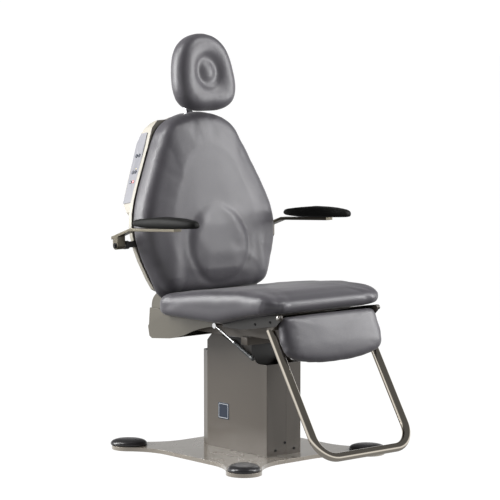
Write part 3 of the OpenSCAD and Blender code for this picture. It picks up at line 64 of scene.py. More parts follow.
def placeCamera(view):
    data = bpy.data.cameras.new("photoCamera")
    data.lens, data.shift_x, data.shift_y = view["lens"], view["shiftX"], view["shiftY"]
    data.clip_start, data.clip_end = 0.1, 100
    holder = bpy.data.objects.new("photoCamera", data)
    a, p = math.radians(view["azimuth"]), math.radians(view["pitch"])
    back = Vector((math.sin(a) * math.cos(p), -math.cos(a) * math.cos(p), math.sin(p)))
    holder.location = Vector(view["target"]) + back * view["distance"]
    holder.rotation_euler = (-back).to_track_quat("-Z", "Y").to_euler()
    scene.collection.objects.link(holder)
    scene.camera = holder


placeCamera(cameraView)
print("camera placed")


def toLinear(code):
    parts = [int(code[i:i + 2], 16) / 255 for i in (1, 3, 5)]
    return [c / 12.92 if c <= 0.04045 else ((c + 0.055) / 1.055) ** 2.4 for c in parts] + [1.0]


def addNode(tree, kind, settings=None, links=None):
    node = tree.nodes.new(kind)
    for name, value in (settings or {}).items():
        if isinstance(name, str) and hasattr(node, name):
            setattr(node, name, value)
        else:
            node.inputs[name].default_value = value
    for name, source in (links or {}).items():
        tree.links.new(source, node.inputs[name])
    return node


# Two tall soft boxes stand where the back and the seat's left side mirror them; two small ones hang higher,
# for the streaks along the cushions' upper edges.
studio = {
    "lamps": [
        {"name": "softboxLeft", "azimuth": -137, "elevation": 20, "distance": 3.4,
         "width": 1.0, "height": 2.2, "power": 135},
        {"name": "softboxRight", "azimuth": 54, "elevation": 19, "distance": 3.4,
         "width": 1.0, "height": 2.2, "power": 105},
        {"name": "highLeft", "azimuth": -130, "elevation": 50, "distance": 3.4,
         "width": 0.6, "height": 0.6, "power": 42},
        {"name": "highRight", "azimuth": 48, "elevation": 52, "distance": 3.4,
         "width": 0.6, "height": 0.6, "power": 42},
    ],
    "aim": (0, 0, 0.75),
    "horizon": 1.05, "sky": 0.12, "skyFrom": 0.02, "skyTo": 0.3,
    "ground": 0.28, "groundFrom": -0.08, "groundTo": -0.45,
    "floorColour": "#3c3c3c", "floorGlow": 1.0, "floorRadius": 80, "floorLevel": -0.0005, "floorStep": 5,
}


def buildStudio(s):
    scene.view_settings.view_transform = "Standard"
    lamps = []
    for lamp in s["lamps"]:
        data = bpy.data.lights.new(lamp["name"], "AREA")
        data.shape, data.size, data.size_y, data.energy = "RECTANGLE", lamp["width"], lamp["height"], lamp["power"]
        holder = bpy.data.objects.new(lamp["name"], data)
        a, e = math.radians(lamp["azimuth"]), math.radians(lamp["elevation"])
        out = Vector((math.sin(a) * math.cos(e), -math.cos(a) * math.cos(e), math.sin(e)))
        holder.location = Vector(s["aim"]) + out * lamp["distance"]
        holder.rotation_euler = (-out).to_track_quat("-Z", "Y").to_euler()
        scene.collection.objects.link(holder)
        lamps.append(holder)
    world = bpy.data.worlds.new("studioWorld")
    world.use_nodes = True
    tree = world.node_tree
    tree.nodes.clear()
    place = addNode(tree, "ShaderNodeTexCoord")
    axes = addNode(tree, "ShaderNodeSeparateXYZ", links={0: place.outputs["Generated"]})
    share = addNode(tree, "ShaderNodeMapRange", {
        "interpolation_type": "SMOOTHSTEP", "From Min": s["skyFrom"], "From Max": s["skyTo"],
        "To Min": s["horizon"], "To Max": s["sky"]}, {"Value": axes.outputs["Z"]})
    # below the horizon the surroundings are dim, so that undersides stay dark
    below = addNode(tree, "ShaderNodeMapRange", {
        "interpolation_type": "SMOOTHSTEP", "From Min": s["groundTo"], "From Max": s["groundFrom"],
        "To Min": s["ground"] / s["horizon"], "To Max": 1.0}, {"Value": axes.outputs["Z"]})
    both = addNode(tree, "ShaderNodeMath", {"operation": "MULTIPLY"}, {0: share.outputs[0], 1: below.outputs[0]})
    glow = addNode(tree, "ShaderNodeBackground", {"Color": (1, 1, 1, 1)}, {"Strength": both.outputs[0]})
    addNode(tree, "ShaderNodeOutputWorld", links={"Surface": glow.outputs[0]})
    scene.world = world
    around = [math.radians(a) for a in range(0, 360, s["floorStep"])]
    ring = [(s["floorRadius"] * math.cos(a), s["floorRadius"] * math.sin(a), s["floorLevel"]) for a in around]
    mesh = bpy.data.meshes.new("studioFloor")
    mesh.from_pydata(ring, [], [list(range(len(ring)))])
    floor = bpy.data.objects.new("studioFloor", mesh)
    material = bpy.data.materials.new("paleStudioFloor")
    material.use_nodes = True
    shader = material.node_tree.nodes["Principled BSDF"]
    shader.inputs["Base Color"].default_value = toLinear(s["floorColour"])
    shader.inputs["Roughness"].default_value = 0.9
    shader.inputs["Specular IOR Level"].default_value = 0.1
    shader.inputs["Emission Color"].default_value = (1, 1, 1, 1)
    shader.inputs["Emission Strength"].default_value = s["floorGlow"]
    mesh.materials.append(material)
    scene.collection.objects.link(floor)
    floor.visible_glossy = floor.visible_diffuse = False      # lamps and surroundings alone light the chair
    return lamps


lamps = buildStudio(studio)
print("studio ready")

# tone and tone2 are mottled over mottle mm; grain is the pattern's pitch in mm and lift its height in mm;
# rough is the range of roughness; edge is the lighter colour on sharp edges, partly wear and partly painted
# highlight.
finishes = {
    # pearl lacquer on steel plate, clear coated: mirror-like, with a fine metallic flake under it
    "pearlLacquer": {"tone": "#9f968a", "tone2": "#989084", "mottle": 90, "kind": "noise", "grain": 3, "lift": 0.001,
                     "rough": (0.24, 0.32), "metallic": 0.35, "coat": 1.0, "coatRough": 0.03, "edge": "#b1a99b"},
    # injection moulded polyurethane: glossy dark grey brown with a faint flow pattern
    "mouldedPolyurethane": {"tone": "#2c2b2d", "tone2": "#323133", "mottle": 40, "kind": "noise", "grain": 1.4,
                            "lift": 0.012, "rough": (0.24, 0.34), "edge": "#444345"},
    # stove enamelled sheet steel: satin taupe with an orange peel of about 3 mm
    "taupeEnamel": {"tone": "#554e46", "tone2": "#504a42", "mottle": 220, "kind": "noise", "grain": 3, "lift": 0.010,
                    "rough": (0.30, 0.38), "coat": 0.25, "coatRough": 0.12, "edge": "#6d665d"},
    # the front panels and the brackets are darker copies of the same taupe enamel: painted shade, for where the seat
    # shades them
    "shadedFrontEnamel": {"tone": "#47413a", "tone2": "#433d36", "mottle": 220, "kind": "noise", "grain": 3, "lift": 0.010,
                    "rough": (0.30, 0.38), "coat": 0.25, "coatRough": 0.12, "edge": "#5f5850"},
    # the brackets: the taupe enamel painted near black, painted shade under the seat
    "shadedBracketEnamel": {"tone": "#1e1b18", "tone2": "#1b1916", "mottle": 120, "kind": "noise", "grain": 3,
                      "lift": 0.010, "rough": (0.34, 0.42), "edge": "#4a453f"},
    # black oxide screws: dull dark metal, rubbed bright on the rims
    "blackOxide": {"tone": "#1c1c1e", "tone2": "#262627", "mottle": 4, "kind": "noise", "grain": 0.8, "lift": 0.006,
                   "rough": (0.35, 0.5), "metallic": 0.8, "edge": "#5c5a57"},
    # back printed polycarbonate plate: glossy dark blue
    "printedPlate": {"tone": "#131f30", "tone2": "#172538", "mottle": 20, "kind": "noise", "grain": 1.5,
                     "lift": 0.004, "rough": (0.18, 0.26), "edge": "#3a4c66"},
    # pale print on that plate
    "palePrint": {"tone": "#dfe3e8", "tone2": "#d4d9df", "mottle": 12, "kind": "noise", "grain": 1, "lift": 0.004,
                  "rough": (0.3, 0.4)},
    # glass filled nylon: matt black with a fine spark eroded texture
    "blackNylon": {"tone": "#1a1a1c", "tone2": "#212123", "mottle": 15, "kind": "cells", "grain": 1.2, "lift": 0.03,
                   "rough": (0.5, 0.62), "edge": "#2f2f31"},
    # electrogalvanised steel tube: soft grey with drawn lines
    "zincSteel": {"tone": "#8a8c8f", "tone2": "#7b7d80", "mottle": 25, "kind": "drawn", "grain": 1.2, "lift": 0.006,
                  "rough": (0.32, 0.46), "metallic": 1.0, "edge": "#a9abad"},
    # epoxy powder coat on the actuators: matt near black with a coarse peel
    "blackPowder": {"tone": "#2b2d31", "tone2": "#313338", "mottle": 30, "kind": "noise", "grain": 1.8, "lift": 0.025,
                    "rough": (0.42, 0.55), "edge": "#44474c"},
    # dark taupe powder coat on the inner column, darkened further as painted shade for its recess inside the shroud
    "darkTaupeShadedPowder": {"tone": "#13110f", "tone2": "#161311", "mottle": 60, "kind": "noise", "grain": 2.2,
                        "lift": 0.018, "rough": (0.34, 0.44), "edge": "#4c463e"},
    # machined acetal: off white, waxy
    "whiteAcetal": {"tone": "#e2ded2", "tone2": "#d8d4c8", "mottle": 20, "kind": "noise", "grain": 1, "lift": 0.006,
                    "rough": (0.35, 0.45), "subsurface": 0.1},
    # hard chromed rod: mirror with the faint rings of grinding
    "hardChrome": {"tone": "#d9dadb", "tone2": "#cfd0d2", "mottle": 8, "kind": "drawn", "grain": 0.9, "lift": 0.0015,
                   "rough": (0.07, 0.14), "metallic": 1.0},
    # satin chromed lever: brushed before plating, so that it glows softly along its length
    "satinChrome": {"tone": "#dedede", "tone2": "#d2d3d4", "mottle": 10, "kind": "noise", "grain": 0.8, "lift": 0.002,
                    "rough": (0.26, 0.34), "metallic": 1.0},
    # turned steel ring: grey with concentric tool marks
    "turnedSteel": {"tone": "#8b8b8c", "tone2": "#7c7c7e", "mottle": 12, "kind": "drawn", "grain": 1.0, "lift": 0.006,
                    "rough": (0.28, 0.4), "metallic": 1.0, "edge": "#b4b4b5"},
    # powder coated steel frame under the seat: grey brown satin
    "framePowder": {"tone": "#5a534a", "tone2": "#554e46", "mottle": 60, "kind": "noise", "grain": 2.2, "lift": 0.018,
                    "rough": (0.36, 0.46), "edge": "#69625a"},
    # lighter enamel on the bent sheet covers: warm grey, smooth
    "warmGreyEnamel": {"tone": "#5e5a50", "tone2": "#5a564c", "mottle": 160, "kind": "noise", "grain": 3,
                       "lift": 0.009, "rough": (0.32, 0.4), "coat": 0.2, "coatRough": 0.15, "edge": "#827d71"},
    # moulded ABS shell: cream, satin, with a fine spark texture drawn at 1.6 mm so that it shows
    "creamAbs": {"tone": "#b8b3a7", "tone2": "#b2ada1", "mottle": 180, "kind": "cells", "grain": 1.6, "lift": 0.012,
                 "rough": (0.34, 0.42), "edge": "#dad6ca"},
    # polycarbonate box for the electronics: dark green
    "greenBox": {"tone": "#26412f", "tone2": "#2b4935", "mottle": 30, "kind": "cells", "grain": 1.4, "lift": 0.02,
                 "rough": (0.4, 0.5), "edge": "#3a5a45"},
    # dip moulded PVC grip: slate grey, soft sheen
    "dippedPvc": {"tone": "#3c3e40", "tone2": "#424445", "mottle": 18, "kind": "noise", "grain": 1.6, "lift": 0.02,
                  "rough": (0.34, 0.46), "edge": "#56585a"},
    # polyester membrane overlay: pale lilac grey, finely stippled
    "membraneFilm": {"tone": "#7f7f86", "tone2": "#797980", "mottle": 60, "kind": "cells", "grain": 1.0,
                     "lift": 0.008, "rough": (0.34, 0.42), "edge": "#cbcbd0"},
    "greyKey": {"tone": "#72747d", "tone2": "#6d6f78", "mottle": 8, "kind": "cells", "grain": 1.0, "lift": 0.008,
                "rough": (0.3, 0.4), "edge": "#b8bac2"},
    "darkKey": {"tone": "#2b3142", "tone2": "#32384a", "mottle": 8, "kind": "cells", "grain": 1.0, "lift": 0.008,
                "rough": (0.3, 0.4), "edge": "#4b5163"},
    "redKey": {"tone": "#cf4a48", "tone2": "#c23f3f", "mottle": 8, "kind": "cells", "grain": 1.0, "lift": 0.008,
               "rough": (0.3, 0.4), "edge": "#dc6f6b"},
    # screen printed ink, slate blue
    "blueInk": {"tone": "#0c1a2c", "tone2": "#0f1f34", "mottle": 6, "kind": "noise", "grain": 0.8, "lift": 0.003,
                "rough": (0.4, 0.5), "specular": 0.15},
    # lens of the small lamp, warm yellow
    "amberLens": {"tone": "#e6d48a", "tone2": "#dfca78", "mottle": 3, "kind": "noise", "grain": 0.8, "lift": 0.003,
                  "rough": (0.1, 0.16), "coat": 1.0, "coatRough": 0.02},
    # bead blasted, champagne anodised aluminium bar
    "champagneAnodised": {"tone": "#6f6a5e", "tone2": "#676257", "mottle": 45, "kind": "noise", "grain": 0.9,
                          "lift": 0.008, "rough": (0.28, 0.36), "metallic": 0.9, "edge": "#8b8576"},
    # integral skin polyurethane foam: near black, fine leather texture
    "integralSkin": {"tone": "#141413", "tone2": "#181817", "mottle": 50, "kind": "cells", "grain": 1.8,
                     "lift": 0.035, "rough": (0.52, 0.62), "specular": 0.15, "edge": "#34342f"},
    # satin black lacquer on the small fittings
    "blackLacquer": {"tone": "#232325", "tone2": "#2a2a2c", "mottle": 20, "kind": "noise", "grain": 1.6,
                     "lift": 0.012, "rough": (0.28, 0.38), "edge": "#4b4a48"},
    # polished stainless tube: a clear, slightly warm mirror with a trace of polishing haze
    "polishedStainless": {"tone": "#dcd4c6", "tone2": "#d2cabd", "mottle": 60, "kind": "noise", "grain": 0.8,
                          "lift": 0.0008, "rough": (0.10, 0.14), "metallic": 1.0},
    # nickel plated pins, washers and screws
    "nickelPlate": {"tone": "#c8c6c2", "tone2": "#bdbbb7", "mottle": 6, "kind": "noise", "grain": 0.8, "lift": 0.003,
                    "rough": (0.14, 0.24), "metallic": 1.0, "edge": "#e2e0dc"},
    # natural rubber: black, matt, for gaskets and feet
    "blackRubber": {"tone": "#1d1d1e", "tone2": "#242425", "mottle": 10, "kind": "noise", "grain": 1.2, "lift": 0.02,
                    "rough": (0.55, 0.7)},
}
materials = {}
wearAndEdgeHighlight = {"from": 0.53, "to": 0.62, "most": 0.7}      # pointiness is high on rounded edges, which are painted lighter: partly wear, partly painted highlight


def surfaceMaterial(name):
    if name in materials:
        return materials[name]
    look = finishes[name]
    material = bpy.data.materials.new(name)
    material.use_nodes = True
    tree = material.node_tree
    tree.nodes.clear()
    place = addNode(tree, "ShaderNodeTexCoord").outputs["Object"]
    mottle = addNode(tree, "ShaderNodeTexNoise", {"Scale": 1 / (look["mottle"] * mm), "Detail": 3.0},
                     {"Vector": place})
    tone = addNode(tree, "ShaderNodeMix", {
        "data_type": "RGBA", 6: toLinear(look["tone"]), 7: toLinear(look["tone2"])},
        {0: mottle.outputs["Fac"]}).outputs[2]
    # sharp edges are painted lighter: partly wear, partly painted highlight
    if "edge" in look:
        wornAndLitEdge = addNode(tree, "ShaderNodeMapRange",
                       {"From Min": wearAndEdgeHighlight["from"], "From Max": wearAndEdgeHighlight["to"], "To Max": wearAndEdgeHighlight["most"]},
                       {"Value": addNode(tree, "ShaderNodeNewGeometry").outputs["Pointiness"]})
        tone = addNode(tree, "ShaderNodeMix", {"data_type": "RGBA", 7: toLinear(look["edge"])},
                       {0: wornAndLitEdge.outputs[0], 6: tone}).outputs[2]
    if look["kind"] == "cells":
        pattern = addNode(tree, "ShaderNodeTexVoronoi", {"Scale": 1 / (look["grain"] * mm)},
                          {"Vector": place}).outputs["Distance"]
    elif look["kind"] == "drawn":
        stretch = addNode(tree, "ShaderNodeMapping", {"Scale": (1, 1, 0.02)}, {"Vector": place})
        pattern = addNode(tree, "ShaderNodeTexNoise", {"Scale": 1 / (look["grain"] * mm), "Detail": 2.0},
                          {"Vector": stretch.outputs[0]}).outputs["Fac"]
    else:
        pattern = addNode(tree, "ShaderNodeTexNoise", {"Scale": 1 / (look["grain"] * mm), "Detail": 2.0},
                          {"Vector": place}).outputs["Fac"]
    bump = addNode(tree, "ShaderNodeBump", {"Distance": look["lift"] * mm, "Strength": 1.0}, {"Height": pattern})
    rough = addNode(tree, "ShaderNodeMapRange", {"To Min": look["rough"][0], "To Max": look["rough"][1]},
                    {"Value": mottle.outputs["Fac"]})
    shader = addNode(tree, "ShaderNodeBsdfPrincipled", {
        "Metallic": look.get("metallic", 0.0), "Coat Weight": look.get("coat", 0.0),
        "Specular IOR Level": look.get("specular", 0.5),
        "Coat Roughness": look.get("coatRough", 0.03), "Subsurface Weight": look.get("subsurface", 0.0)},
        {"Base Color": tone, "Roughness": rough.outputs[0], "Normal": bump.outputs[0]})
    addNode(tree, "ShaderNodeOutputMaterial", links={"Surface": shader.outputs[0]})
    materials[name] = material
    return material


# coated leathercloth: PVC on knitted backing, embossed with a hide grain. The real grain is about 0.9 mm;
# it is drawn at 2.6 mm so that it shows. It reads as a cool grey satin with soft broad highlights.
leathercloth = {"tone": "#555358", "tone2": "#504e53", "deep": "#434146", "deepShare": 0.28, "mottle": 130,
                "grain": 2.6, "grainLift": 0.05, "grainEdge": 0.16, "pore": 0.9, "poreLift": 0.012,
                "ripple": 60, "rippleLift": 0.35, "rough": (0.36, 0.44), "sheen": 0.12, "sheenRough": 0.4}


def leatherclothMaterial(look):
    material = bpy.data.materials.new("embossedLeathercloth")
    material.use_nodes = True
    tree = material.node_tree
    tree.nodes.clear()
    place = addNode(tree, "ShaderNodeTexCoord").outputs["Object"]
    mottle = addNode(tree, "ShaderNodeTexNoise", {"Scale": 1 / (look["mottle"] * mm), "Detail": 4.0},
                     {"Vector": place})
    cells = addNode(tree, "ShaderNodeTexVoronoi", {"feature": "DISTANCE_TO_EDGE", "Scale": 1 / (look["grain"] * mm)},
                    {"Vector": place})
    valley = addNode(tree, "ShaderNodeMapRange", {"From Max": look["grainEdge"]},
                     {"Value": cells.outputs["Distance"]})
    tone = addNode(tree, "ShaderNodeMix", {
        "data_type": "RGBA", 6: toLinear(look["tone"]), 7: toLinear(look["tone2"])}, {0: mottle.outputs["Fac"]})
    depth = addNode(tree, "ShaderNodeMapRange", {"To Min": look["deepShare"], "To Max": 0.0},
                    {"Value": valley.outputs[0]})
    colour = addNode(tree, "ShaderNodeMix", {"data_type": "RGBA", 7: toLinear(look["deep"])},
                     {0: depth.outputs[0], 6: tone.outputs[2]})
    pores = addNode(tree, "ShaderNodeTexNoise", {"Scale": 1 / (look["pore"] * mm), "Detail": 3.0}, {"Vector": place})
    ripple = addNode(tree, "ShaderNodeTexNoise", {"Scale": 1 / (look["ripple"] * mm), "Detail": 2.0},
                     {"Vector": place})
    soft = addNode(tree, "ShaderNodeBump", {"Distance": look["rippleLift"] * mm, "Strength": 1.0},
                   {"Height": ripple.outputs["Fac"]})
    fine = addNode(tree, "ShaderNodeBump", {"Distance": look["poreLift"] * mm, "Strength": 1.0},
                   {"Height": pores.outputs["Fac"], "Normal": soft.outputs[0]})
    grain = addNode(tree, "ShaderNodeBump", {"Distance": look["grainLift"] * mm, "Strength": 1.0},
                    {"Height": valley.outputs[0], "Normal": fine.outputs[0]})
    rough = addNode(tree, "ShaderNodeMapRange", {"To Min": look["rough"][0], "To Max": look["rough"][1]},
                    {"Value": mottle.outputs["Fac"]})
    shader = addNode(tree, "ShaderNodeBsdfPrincipled",
                     {"Sheen Weight": look["sheen"], "Sheen Roughness": look["sheenRough"]},
                     {"Base Color": colour.outputs[2], "Roughness": rough.outputs[0], "Normal": grain.outputs[0]})
    addNode(tree, "ShaderNodeOutputMaterial", links={"Surface": shader.outputs[0]})
    return material


materials["leathercloth"] = leatherclothMaterial(leathercloth)
print("finishes ready")


def addPiece(name, mesh, finish, body, place=rowFrame, sharp=35, bevel=0, segments=2, stands=()):
    mesh.transform(place)
    mesh.materials.clear()
    mesh.materials.append(surfaceMaterial(finish))
    for polygon in mesh.polygons:
        polygon.use_smooth = True
    piece = bpy.data.objects.new(name, mesh)
    scene.collection.objects.link(piece)
    if bevel:
        edge = piece.modifiers.new("edge", "BEVEL")
        edge.width, edge.segments = bevel * mm, segments
        edge.limit_method, edge.angle_limit = "ANGLE", math.radians(sharp)
        edge.use_clamp_overlap, edge.harden_normals, edge.miter_outer = True, False, "MITER_ARC"
        even = piece.modifiers.new("even", "WEIGHTED_NORMAL")
        even.keep_sharp = True
    else:
        mesh.set_sharp_from_angle(angle=math.radians(sharp))
    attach(piece, body)
    if stands:
        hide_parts(*stands)
    return piece


def cleanCopy(node, dissolve=0.4):
    mesh = frame["nodes"][node].data.copy()
    if mesh.has_custom_normals:
        mesh.attributes.remove(mesh.attributes["custom_normal"])
    work = bmesh.new()
    work.from_mesh(mesh)
    bmesh.ops.remove_doubles(work, verts=work.verts, dist=0.01 * mm)
    if dissolve:
        bmesh.ops.dissolve_limit(work, angle_limit=math.radians(dissolve), verts=work.verts, edges=work.edges)
    work.to_mesh(mesh)
    work.free()
    return mesh


def pieceName(node):
    first, *rest = node.split("_")
    return first + "".join(word.title() for word in rest)


def dressNode(node, finish, bevel=0.8, segments=2, sharp=30, dissolve=0.4):
    return addPiece(pieceName(node), cleanCopy(node, dissolve), finish, bodyOfNode[node],
                    sharp=sharp, bevel=bevel, segments=segments, stands=(node,))


def meshOf(name, points, faces):
    mesh = bpy.data.meshes.new(name)
    mesh.from_pydata([Vector(p) * mm for p in points], [], faces)
    mesh.validate()
    return mesh


def turned(name, profile, steps=32, hexRings=()):
    points, faces = [], []
    for k, (radius, height) in enumerate(profile):
        for i in range(steps):
            a = 2 * math.pi * i / steps
            r = radius
            if k in hexRings:       # the socket's six flats
                r = radius * math.cos(math.pi / 6) / math.cos((a % (math.pi / 3)) - math.pi / 6)
            points.append((r * math.cos(a), r * math.sin(a), height))
    for k in range(len(profile) - 1):
        for i in range(steps):
            j = (i + 1) % steps
            faces.append((k * steps + i, k * steps + j, (k + 1) * steps + j, (k + 1) * steps + i))
    faces.append(tuple(reversed(range(steps))))
    faces.append(tuple((len(profile) - 1) * steps + i for i in range(steps)))
    return meshOf(name, points, faces)


def slab(name, outline, low, high):
    count = len(outline)
    points = [(x, y, low) for x, y in outline] + [(x, y, high) for x, y in outline]
    faces = [tuple(reversed(range(count))), tuple(range(count, 2 * count))]
    faces += [(i, (i + 1) % count, count + (i + 1) % count, count + i) for i in range(count)]
    return meshOf(name, points, faces)


def tube(name, line, radius, sides=16):
    line = [Vector(p) for p in line]
    count = len(line)
    points, faces = [], []
    side = None
    for k, p in enumerate(line):
        before, after = line[max(k - 1, 0)], line[min(k + 1, count - 1)]
        along = (after - before).normalized()
        if side is None:
            side = along.orthogonal().normalized()
        side = (side - along * side.dot(along)).normalized()
        other = along.cross(side)
        for i in range(sides):
            a = 2 * math.pi * i / sides
            points.append(p + side * (radius * math.cos(a)) + other * (radius * math.sin(a)))
    for k in range(count - 1):
        for i in range(sides):
            j = (i + 1) % sides
            faces.append((k * sides + i, k * sides + j, (k + 1) * sides + j, (k + 1) * sides + i))
    faces.append(tuple(reversed(range(sides))))
    faces.append(tuple((count - 1) * sides + i for i in range(sides)))
    return meshOf(name, points, faces)


def joined(name, meshes):
    work = bmesh.new()
    for mesh in meshes:
        work.from_mesh(mesh)
    made = bpy.data.meshes.new(name)
    work.to_mesh(made)
    work.free()
    return made


def moved(mesh, matrix):
    mesh.transform(matrix)
    return mesh


def facing(point, direction):
    turn = Vector(direction).to_track_quat("Z", "Y").to_matrix().to_4x4()
    return Matrix.Translation(Vector(point) * mm) @ turn


def rounded(corners, radius, steps=6):
    outline = []
    for i, corner in enumerate(corners):
        p, a, b = Vector(corner), Vector(corners[i - 1]), Vector(corners[(i + 1) % len(corners)])
        u, v = (a - p).normalized(), (b - p).normalized()
        half = math.acos(max(-1, min(1, u.dot(v)))) / 2
        back = radius / math.tan(half)
        centre = p + (u + v).normalized() * (radius / math.sin(half))
        start, end = p + u * back - centre, p + v * back - centre
        turn = math.atan2(start.x * end.y - start.y * end.x, start.dot(end))
        for k in range(steps + 1):
            c, s = math.cos(turn * k / steps), math.sin(turn * k / steps)
            outline.append((centre.x + start.x * c - start.y * s, centre.y + start.x * s + start.y * c))
    return outline


def pointsOf(mesh):
    flat = np.zeros(len(mesh.vertices) * 3)
    mesh.vertices.foreach_get("co", flat)
    return flat.reshape(-1, 3)


def normalsOf(mesh):
    flat = np.zeros(len(mesh.vertices) * 3)
    mesh.vertex_normals.foreach_get("vector", flat)
    return flat.reshape(-1, 3)


def setPoints(mesh, points):
    mesh.vertices.foreach_set("co", np.ascontiguousarray(points).ravel())
    mesh.update()


def applied(piece, name):
    evaluated = piece.evaluated_get(bpy.context.evaluated_depsgraph_get())
    mesh = bpy.data.meshes.new_from_object(evaluated)
    mesh.name = name
    return mesh


def into(points, place):
    back = np.array(place.inverted())
    return points @ back[:3, :3].T + back[:3, 3]


def outOf(points, place):
    there = np.array(place)
    return points @ there[:3, :3].T + there[:3, 3]


def bell(x, width):
    return np.exp(-(x / width) ** 2)


def waves(points, size, seed):
    offset = Vector((seed * 3.1, seed * 1.7, seed * 0.9))
    return np.array([noise.noise(Vector(p) / size + offset) for p in points])


def spread(values, edges, count, times):
    first, second = edges[:, 0], edges[:, 1]
    share = np.maximum(np.bincount(first, minlength=count) + np.bincount(second, minlength=count), 1)
    values = values.reshape(count, -1).copy()
    for _ in range(times):
        for k in range(values.shape[1]):
            column = values[:, k]
            total = (np.bincount(first, column[second], minlength=count)
                     + np.bincount(second, column[first], minlength=count))
            values[:, k] = 0.5 * column + 0.5 * total / share
    return values


def outside(points, cad):
    depth = np.zeros(len(points))
    for i, p in enumerate(points):
        near, normal, _, _ = cad.find_nearest(Vector(p))
        depth[i] = (Vector(p) - near).dot(normal)
    return depth


clothRun = {"quality": 5, "bending": 1.0, "frames": 20}


def plump(node, s):
    name = pieceName(node)
    place = s["place"]
    work = bmesh.new()
    work.from_mesh(cleanCopy(node, 0))
    bmesh.ops.recalc_face_normals(work, faces=work.faces)
    cad = BVHTree.FromBMesh(work)
    mesh = bpy.data.meshes.new(name)
    work.to_mesh(mesh)
    work.free()
    rest = np.array(place.to_3x3() @ Vector(s["rests"]))
    points, normals = pointsOf(mesh), normalsOf(mesh)
    held = normals @ rest > s["held"]
    local = into(points, place)
    if "keep" in s:
        held |= s["keep"](local / mm)
    setPoints(mesh, points - normals * np.where(held, 0, s["start"] * mm)[:, None])
    piece = bpy.data.objects.new(name, mesh)
    scene.collection.objects.link(piece)
    grid = piece.modifiers.new("grid", "REMESH")
    grid.mode, grid.voxel_size, grid.use_smooth_shade = "VOXEL", s["voxel"] * mm, True
    even = piece.modifiers.new("even", "SMOOTH")
    even.factor, even.iterations = 0.5, s["even"]
    mesh = applied(piece, name)
    piece.modifiers.clear()
    piece.data = mesh
    start, normals = pointsOf(mesh), normalsOf(mesh)
    held = normals @ rest > s["held"]
    if "keep" in s:
        held |= s["keep"](into(start, place) / mm)
    edges = np.array([e.vertices[:] for e in mesh.edges])
    count = len(start)
    if "pressure" in s:
        group = piece.vertex_groups.new(name="held")
        group.add([int(i) for i in np.nonzero(held)[0]], 1.0, "REPLACE")
        cloth = piece.modifiers.new("cloth", "CLOTH")
        cloth.settings.use_pressure = True
        cloth.settings.uniform_pressure_force = s["pressure"]
        cloth.settings.vertex_group_mass = "held"
        cloth.settings.effector_weights.gravity = 0
        cloth.settings.quality = clothRun["quality"]
        cloth.settings.tension_stiffness = cloth.settings.compression_stiffness = s["stiff"]
        cloth.settings.bending_stiffness = clothRun["bending"]
        cloth.point_cache.frame_start, cloth.point_cache.frame_end = 1, clothRun["frames"]
        for k in range(1, clothRun["frames"] + 1):
            scene.frame_set(k)
        swollen = pointsOf(applied(piece, name + "Swollen"))
        piece.modifiers.clear()
        scene.frame_set(1)
        shift = swollen - start
        length = np.linalg.norm(shift, axis=1)
        shift *= np.minimum(1, s["cap"] * mm / np.maximum(length, 1e-9))[:, None]
        broad = spread(shift, edges, count, s["broad"])     # the broad swelling stays, most small creases go
        points = start + broad + s["crease"] * (shift - broad)
        print(name, "swelled", round(float(np.median(length)) / mm, 2), "mm,",
              "most", round(float(length.max()) / mm, 2), "mm")
    else:
        points = start.copy()
    # then the skin is let out evenly until it fills its CAD outline
    free = spread(np.where(held, 0.0, 1.0), edges, count, 3)
    for _ in range(s["rounds"]):
        short = spread(np.clip(-outside(points, cad), -s["cap"] * mm, s["cap"] * mm), edges, count, s["broad"])
        setPoints(mesh, points)
        points = points + normalsOf(mesh) * short * free * s["fill"]
    for i, p in enumerate(points):      # no point stands further out of the CAD form than this
        near, normal, _, _ = cad.find_nearest(Vector(p))
        if (Vector(p) - near).dot(normal) > s["proud"] * mm:
            points[i] = near + normal * s["proud"] * mm
    setPoints(mesh, points)
    even = piece.modifiers.new("even", "SMOOTH")
    even.factor, even.iterations = 0.5, s["after"]
    finer = piece.modifiers.new("finer", "SUBSURF")
    finer.levels = finer.render_levels = 1
    mesh = applied(piece, name)
    bpy.data.objects.remove(piece)
    if "detail" in s:
        local = into(pointsOf(mesh), place) / mm
        turn = np.array(place.to_3x3())
        local = s["detail"](local, normalsOf(mesh) @ turn)
        setPoints(mesh, outOf(local * mm, place))
    return addPiece(name, mesh, s["finish"], bodyOfNode[node], sharp=180, stands=(node,))


# rests is the side that lies on something; lengths are in mm, and even, broad and after count smoothing rounds
foam = {"pressure": 4, "stiff": 15, "fill": 0.9, "rounds": 2, "finish": "leathercloth"}
seat = {**foam, "place": rowFrame, "rests": (0, 0, -1), "held": 0.62, "start": 5, "voxel": 6, "even": 20,
        "cap": 24, "proud": 3, "broad": 30, "crease": 0.15, "after": 4, "dish": 5, "dishW": 150,
        "dishY": -90, "dishL": 190, "wave": 0.5, "wavePitch": 90, "tuck": 11, "tuckFrom": 553, "tuckH": 45,
        "tuckY": -330, "tuckL": 50}


def seatDetail(p, n):
    x, y = p[:, 0], p[:, 1]
    up = np.clip(n[:, 2], 0, 1)
    dish = bell(x, seat["dishW"]) * bell(y - seat["dishY"], seat["dishL"])
    p = p - n * (seat["dish"] * dish * up ** 2)[:, None]
    low = np.clip((seat["tuckFrom"] - p[:, 2]) / seat["tuckH"], 0, 1) ** 1.5      # the front draws in at its foot
    p[:, 1] += seat["tuck"] * low * np.clip((seat["tuckY"] - y) / seat["tuckL"], 0, 1)
    return p + n * (seat["wave"] * waves(p, seat["wavePitch"], 1) * np.clip(n[:, 2] + 0.8, 0, 1))[:, None]


seat["detail"] = seatDetail

